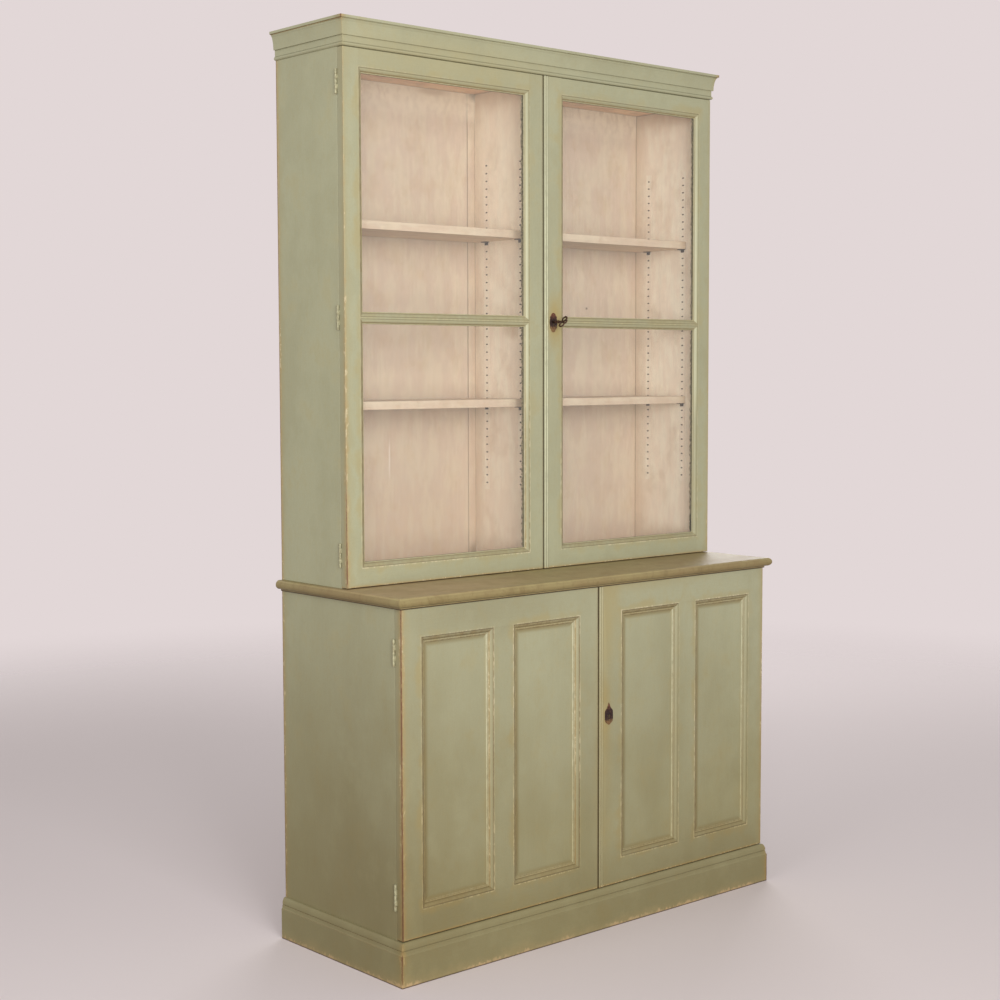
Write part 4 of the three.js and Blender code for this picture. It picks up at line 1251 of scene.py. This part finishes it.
def slotted_strip(x, facing, middle_y):
    """A strip with a row of slots, each an octagon sunk into it."""
    low_z, high_z = WORKTOP_TOP + PEG_STRIP_RISE, CEILING - PEG_STRIP_DROP
    margin = 18 * MM
    count = 42
    half_slot = 3.3 * MM
    half_height = 1.7 * MM
    corner = 0.8 * MM
    recess = 2.2 * MM
    proud = 0.15 * MM
    thickness = proud + recess + 0.3 * MM
    half_width = PEG_STRIP_WIDTH / 2 - 0.2 * MM
    pitch = (high_z - low_z - 2 * margin) / (count - 1)
    shape = bmesh.new()

    def fill(points, material=0):
        """A face through points given by Y from the strip's middle, by Z and by depth below its face."""
        corners = [(x + facing * (proud - depth), middle_y + y, z) for y, z, depth in points]
        shape.faces.new([shape.verts.new(corner) for corner in corners]).material_index = material

    def sheet(points, depth=0.0, material=0):
        fill([(*point, depth) for point in points], material)

    def wall(a, b, depth, material=0):
        fill([(*a, 0.0), (*b, 0.0), (*b, depth), (*a, depth)], material)

    inner_y, inner_z = half_slot - corner, half_height - corner
    for i in range(count):
        z = low_z + margin + i * pitch
        top = z + pitch / 2 if i < count - 1 else high_z
        bottom = z - pitch / 2 if i > 0 else low_z
        quarters = ((1, 1, top), (1, -1, bottom), (-1, -1, bottom), (-1, 1, top))
        ring = []
        rim = []
        for right, up, end in quarters:
            slot_points = [(right * inner_y, z + up * half_height), (right * half_slot, z + up * inner_z)]
            rim_points = [(right * inner_y, end), (right * half_width, z + up * inner_z)]
            ring += slot_points[::right * up]
            rim += rim_points[::right * up]
        for j in range(8):
            k = (j + 1) % 8
            right, up, end = quarters[j // 2]
            between = [(right * half_width, end)] if j % 2 == 0 else []
            sheet([rim[j], *between, rim[k], ring[k], ring[j]])
            wall(ring[j], ring[k], recess, 1)
        sheet(ring, recess, 1)
    outline = [(-half_width, low_z), (half_width, low_z), (half_width, high_z), (-half_width, high_z)]
    for a, b in zip(outline, outline[1:] + outline[:1]):
        wall(a, b, thickness)
    sheet(outline, thickness)
    bmesh.ops.remove_doubles(shape, verts=shape.verts, dist=WELD)
    bmesh.ops.recalc_face_normals(shape, faces=shape.faces)
    return shape


def shelf_clips():
    """Flat metal clips under the shelves, each with a leaf against the strip and a hook in its slot."""
    # Near end and far end from the wall, half width along the wall, and bottom and top below the shelf
    plates = (
        (0.0, 12 * MM, 10 * MM, -2 * MM, 0.0),
        (0.0, 1.4 * MM, 6 * MM, -9 * MM, 0.0),
        (-2 * MM, MM, 3 * MM, -8 * MM, -5.6 * MM),
    )
    for node in SHELVES:
        low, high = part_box(node)
        under = high.z - BOARD
        shapes = [
            rounded_box(
                (x + inward * near, BACK_Y - place - half, under + bottom),
                (x + inward * far, BACK_Y - place + half, under + top), FINE_EDGE,
            )
            for x, inward in ((low.x, 1), (high.x, -1)) for place in PEG_ROWS
            for near, far, half, bottom, top in plates
        ]
        piece(node + "_clips", joined(shapes), (BRONZE_METAL,), "case")


# Hinges
def screw(middle, facing):
    """The two halves of a slotted countersunk screw head, flush with the leaf it holds."""
    radius = 3 * MM
    half_slot = 0.5 * MM
    depth = 0.5 * MM
    rise = 0.15 * MM
    steps = 9
    turn = random.Random(f"{middle[0]:.4f}{middle[2]:.4f}").uniform(0, math.pi)
    start = math.asin(half_slot / radius)
    halves = []
    for half_turn in (0, math.pi):
        ring = []
        for i in range(steps + 1):
            angle = turn + half_turn + start + (math.pi - 2 * start) * i / steps
            ring.append((middle[0] + radius * math.cos(angle), middle[2] + radius * math.sin(angle)))
        levels = (middle[1] + facing * rise, middle[1] - facing * depth)
        halves.append(loft([[(x, y, z) for x, z in ring] for y in levels], capped=True))
    return halves


def hinges():
    """Both halves of each butt hinge, with their knuckles, leaves and screws."""
    for level, places in (("upper", ("bottom", "middle", "top")), ("lower", ("bottom", "top"))):
        for side, sign in SIDES:
            for place in places:
                node = f"{level}_{side}_{place}_hinge"
                low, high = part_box(node)
                axis = Vector((
                    (low.x if sign < 0 else high.x) - sign * HINGE_BARREL_RADIUS,
                    low.y + HINGE_BARREL_RADIUS, 0,
                ))
                fixed = hinge_half(axis, -sign, low.z, high.z, True)
                moving = hinge_half(axis, -sign, low.z, high.z, False)
                stands_for(node, fixed, IRON)
                piece(f"{node}_door_half", moving, (IRON,), f"{level}_{side}_door")


def hinge_half(axis, inward, bottom, top, fixed):
    """The half of a hinge on the case, which also holds its pin, or the half on the door."""
    knuckle_gap = 0.35 * MM
    knuckle_edge = 0.3 * MM
    neck_edge = 0.2 * MM
    neck_overlap = 1 * MM
    pin_radius = 1.3 * MM
    pin_past = 0.6 * MM
    screw_line = HINGE_PIN_OFFSET + 0.55 * HINGE_LEAF_WIDTH
    pitch = (top - bottom) / HINGE_KNUCKLES
    facing = -1 if fixed else 1
    leaf_face = axis.y - facing * DOOR_GAP / 2
    leaf_back = leaf_face - facing * HINGE_LEAF_THICKNESS

    def leaf(start, end, low, high, width):
        return rounded_box(
            (axis.x + inward * start, leaf_back, low), (axis.x + inward * end, leaf_face, high), width,
        )

    shapes = []
    for i in range(0 if fixed else 1, HINGE_KNUCKLES, 2):
        low = bottom + i * pitch + knuckle_gap / 2
        high = low + pitch - knuckle_gap
        shapes.append(cylinder(HINGE_BARREL_RADIUS, low, high, "z", axis, 24, knuckle_edge))
        shapes.append(leaf(0.0, HINGE_PIN_OFFSET + neck_overlap, low, high, neck_edge))
    shapes.append(leaf(HINGE_PIN_OFFSET, HINGE_PIN_OFFSET + HINGE_LEAF_WIDTH, bottom, top, knuckle_edge))
    if fixed:
        shapes.append(cylinder(pin_radius, bottom - pin_past, top + pin_past, "z", axis, 12, FINE_EDGE))
    for height_share, shift in ((0.15, -2 * MM), (0.5, 2.5 * MM), (0.85, -2 * MM)):
        height = bottom + (top - bottom) * height_share
        shapes += screw((axis.x + inward * (screw_line + shift), leaf_face, height), facing)
    return joined(shapes)


# Lock furniture. Half outlines of the plates, across and up from the keyhole in millimetres
UPPER_PLATE = (
    (0, -26.5), (4, -25.5), (6.8, -22.8), (7.6, -19.5), (10, -17.6), (11.8, -14.2), (11, -10.4),
    (12.6, -6.8), (13.2, -1.2), (12.6, 4.6), (11, 7.8), (11.8, 11.4), (10, 14.6), (7.6, 16.4),
    (6.8, 19.4), (4, 21.8), (0, 23),
)
LOWER_PLATE = (
    (0, -22.5), (3.8, -21.5), (5.6, -19), (9, -17.6), (12.8, -13.6), (14.2, -9), (14.2, 8), (13.2, 13),
    (10.2, 17), (6.8, 19.8), (5, 23.2), (2.8, 27.6), (1.4, 31.6), (0, 34),
)
LOWER_PLATE_RISE = 22 * MM
PLATE_THICKNESS = 1.6 * MM
PLATE_DOME = 1.0 * MM
RIM_RISE_SHARE = 0.45
NAIL_RADIUS = 1.8 * MM
NAIL_FLAT_SHARE = 0.6

# How far out towards the rim each line of a plate lies, and how high on its dome
DOME_SHARES = ((0.0, 0.35), (0.12, 0.75), (0.4, 1.0), (0.75, 0.72), (0.93, 0.25), (1.0, 0.0))


def keyhole_reach(angle):
    """How far a keyhole's outline lies from the middle of its round part. Angle 0 is straight down."""
    radius = 3.2 * MM
    half_slot = 1.5 * MM
    drop = 9 * MM
    across = abs(math.sin(angle))
    down = math.cos(angle)
    if down <= 0:
        return radius
    side = half_slot / across if across > 1e-6 else FAR
    return max(radius, min(side, drop / down))


def plate_reach(half_outline, angle):
    """How far a plate's outline lies from its middle, by angle from straight down."""
    points = [Vector(point) for point in half_outline]
    points += [Vector((-x, z)) for x, z in half_outline[::-1] if x > 0]
    away = Vector((math.sin(angle), -math.cos(angle)))
    for start, end in zip(points, points[1:] + points[:1]):
        along = end - start
        spread = away.cross(along)
        if abs(spread) < 1e-9:
            continue
        if start.cross(along) / spread > 0 and -1e-6 <= start.cross(away) / spread <= 1 + 1e-6:
            return start.cross(along) / spread * MM


def dished_plate(middle, front_y, half_outline):
    """A thin plate with a keyhole, domed between its rim and the hole, and flat behind."""
    steps = 96
    back_y = front_y + PLATE_THICKNESS
    angles = [2 * math.pi * i / steps for i in range(steps)]
    reaches = [(keyhole_reach(angle), plate_reach(half_outline, angle)) for angle in angles]
    rim_y = back_y - PLATE_THICKNESS * RIM_RISE_SHARE
    lines = [(share, rim_y - PLATE_DOME * rise) for share, rise in DOME_SHARES]
    rings = []
    for share, y in lines + [(1.0, back_y), (0.0, back_y)]:
        ring = []
        for angle, (inner, outer) in zip(angles, reaches):
            reach = inner + (outer - inner) * share
            ring.append((middle.x + reach * math.sin(angle), y, middle.z - reach * math.cos(angle)))
        rings.append(ring)
    return loft(rings)


def dome_head(x, y, z):
    """The head of a nail."""
    shape = bmesh.new()
    matrix = Matrix.Translation((x, y, z)) @ Matrix.Diagonal((1, NAIL_FLAT_SHARE, 1, 1))
    bmesh.ops.create_uvsphere(shape, u_segments=14, v_segments=8, radius=NAIL_RADIUS, matrix=matrix)
    return shape


def escutcheons():
    nail_rise = 18 * MM
    for node, half_outline, nail_drop, brass in (
        ("upper_escutcheon", UPPER_PLATE, 20 * MM, UPPER_BRASS),
        ("lower_escutcheon", LOWER_PLATE, 17 * MM, LOWER_BRASS),
    ):
        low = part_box(node)[0]
        middle = middle_of(node)
        if node == "lower_escutcheon":
            middle.z = low.z + LOWER_PLATE_RISE
        shapes = [dished_plate(middle, low.y, half_outline)]
        for rise in (nail_rise, -nail_drop):
            shapes.append(dome_head(middle.x, low.y, middle.z + rise))
        stands_for(node, joined(shapes), brass)


def wire_loop(centre, radius, thickness, turn, steps=28, sides=10):
    """A round loop of wire. The loop lies in the YZ plane and is then turned into its place."""
    rings = []
    for i in range(steps):
        angle = 2 * math.pi * i / steps
        out = Vector((0, math.cos(angle), math.sin(angle)))
        ring = []
        for j in range(sides):
            around = 2 * math.pi * j / sides
            sideways = Vector((thickness * math.sin(around), 0, 0))
            ring.append(turn @ (out * (radius + thickness * math.cos(around)) + sideways + centre))
        rings.append(ring)
    return loft(rings)


def make_key():
    """The key: a collared shank and an openwork bow of three loops."""
    shank_radius = 2.6 * MM
    shank_inside = 12 * MM
    collar_radius = 4.2 * MM
    collar_length = 3 * MM
    collar_edge = 0.7 * MM
    bow_overlap = 5 * MM
    wire = 2.1 * MM
    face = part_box("upper_escutcheon")[0].y
    bow = face - 35 * MM
    turn = Matrix.Translation((UPPER_LOCK.x, 0, UPPER_LOCK.z)) @ Matrix.Rotation(KEY_TILT, 4, "Y")
    rods = [(shank_radius, face + shank_inside, bow + bow_overlap, FINE_EDGE)]
    for start in (6 * MM, 16 * MM):
        rods.append((collar_radius, face - start, face - start - collar_length, collar_edge))
    shapes = [cylinder(radius, start, end, "y", (0, 0, 0), 16, edge) for radius, start, end, edge in rods]
    for shape in shapes:
        bmesh.ops.transform(shape, matrix=turn, verts=shape.verts)
    # Middle of each loop of the bow, out and up from the shank's end, and its radius, in millimetres
    for out, up, radius in ((0, 8.2, 6.9), (0, -8.2, 7.2), (-7, 0, 5)):
        shapes.append(wire_loop(Vector((0, bow + out * MM, up * MM)), radius * MM, wire, turn))
    stands_for("key", joined(shapes), BRONZE_METAL)
    bolt = cad_shape("lock_bolt")
    ease(bolt, FINE_EDGE)
    stands_for("lock_bolt", bolt, BRONZE_METAL)


# Stage
CAMERA_PLACE = Vector((-3.0133, -3.2773, 1.3984))
CAMERA_YAW = math.radians(41.37)
CAMERA_PITCH = math.radians(-4.27)
CAMERA_ROLL = math.radians(-0.15)
CAMERA_LENS = 62.77
CAMERA_SENSOR = 36.0
FLOOR_RADIUS = 7.0
FLOOR_FADE = (2.2, 5.5)
WORLD_STRENGTH = 0.34
LAMP_AIM = Vector((0, 0, 1.2))

# Each lamp's azimuth from the front in degrees, its height, its distance and its size in metres, its power
LAMPS = {
    "front_light": (-20, 2.8, 6.0, 2.6, 150),
    "side_light": (-80, 2.8, 3.4, 2.0, 27),
    "low_light": (-37, 1.4, 6.0, 2.6, 200),
    "back_light": (130, 2.8, 4.5, 2.6, 70),
}


def make_camera():
    camera = bpy.data.cameras.new("camera")
    camera.lens = CAMERA_LENS
    camera.sensor_width = CAMERA_SENSOR
    made = add_object("camera", camera)
    level = math.cos(CAMERA_PITCH)
    forward = Vector((math.sin(CAMERA_YAW) * level, math.cos(CAMERA_YAW) * level, math.sin(CAMERA_PITCH)))
    right = forward.cross(Vector((0, 0, 1))).normalized()
    turned = Matrix((right, right.cross(forward), -forward)).transposed().to_4x4()
    made.matrix_world = Matrix.Translation(CAMERA_PLACE) @ turned @ Matrix.Rotation(CAMERA_ROLL, 4, "Z")
    bpy.context.scene.camera = made


def make_lamps():
    """Soft square lamps, turned towards the bookcase."""
    for name, (azimuth, height, distance, size, power) in LAMPS.items():
        light = bpy.data.lights.new(name, "AREA")
        light.shape = "SQUARE"
        light.size = size
        light.energy = power
        made = add_object(name, light)
        angle = math.radians(azimuth)
        made.location = (math.sin(angle) * distance, -math.cos(angle) * distance, height)
        made.rotation_mode = "QUATERNION"
        made.rotation_quaternion = (LAMP_AIM - made.location).to_track_quat("-Z", "Y")


def make_world():
    """A pale backdrop, which lights the bookcase less than it shows."""
    world = bpy.data.worlds.new("studio")
    bpy.context.scene.world = world
    world.use_nodes = True
    tree = Nodes(world.node_tree)
    tree.nodes.clear()
    lit = tree.out("Background", {"Color": WORLD_TINT, "Strength": WORLD_STRENGTH})
    seen = tree.out("Background", {"Color": BACKDROP})
    mixed = tree.out("MixShader", {0: tree.light_path(), 1: lit, 2: seen})
    tree.node("OutputWorld", {0: mixed})


def make_floor():
    """A pale floor that fades into the backdrop away from the bookcase."""
    shape = bmesh.new()
    bmesh.ops.create_circle(shape, cap_ends=True, segments=96, radius=FLOOR_RADIUS)
    mesh = mesh_of("floor", shape)
    add_object("floor", mesh)
    floor = Material("pale_floor", FLOOR_BOUNCE)
    floor.over(BACKDROP, floor.light_path())
    mesh.materials.append(floor.finish(0.85))
    away = floor.place.length().fade(*FLOOR_FADE)
    inputs = {0: away, 1: Value(floor, floor.shader.outputs[0]), 2: floor.out("BsdfTransparent")}
    floor.put(floor.nodes["Material Output"].inputs[0], floor.out("MixShader", inputs))


make_camera()
case_sides()
interior_boards()
shelves()
carcase_mouldings()
doors()
peg_strips()
shelf_clips()
hinges()
escutcheons()
make_key()
make_floor()
make_world()
make_lamps()
bpy.context.scene.view_settings.view_transform = "Standard"
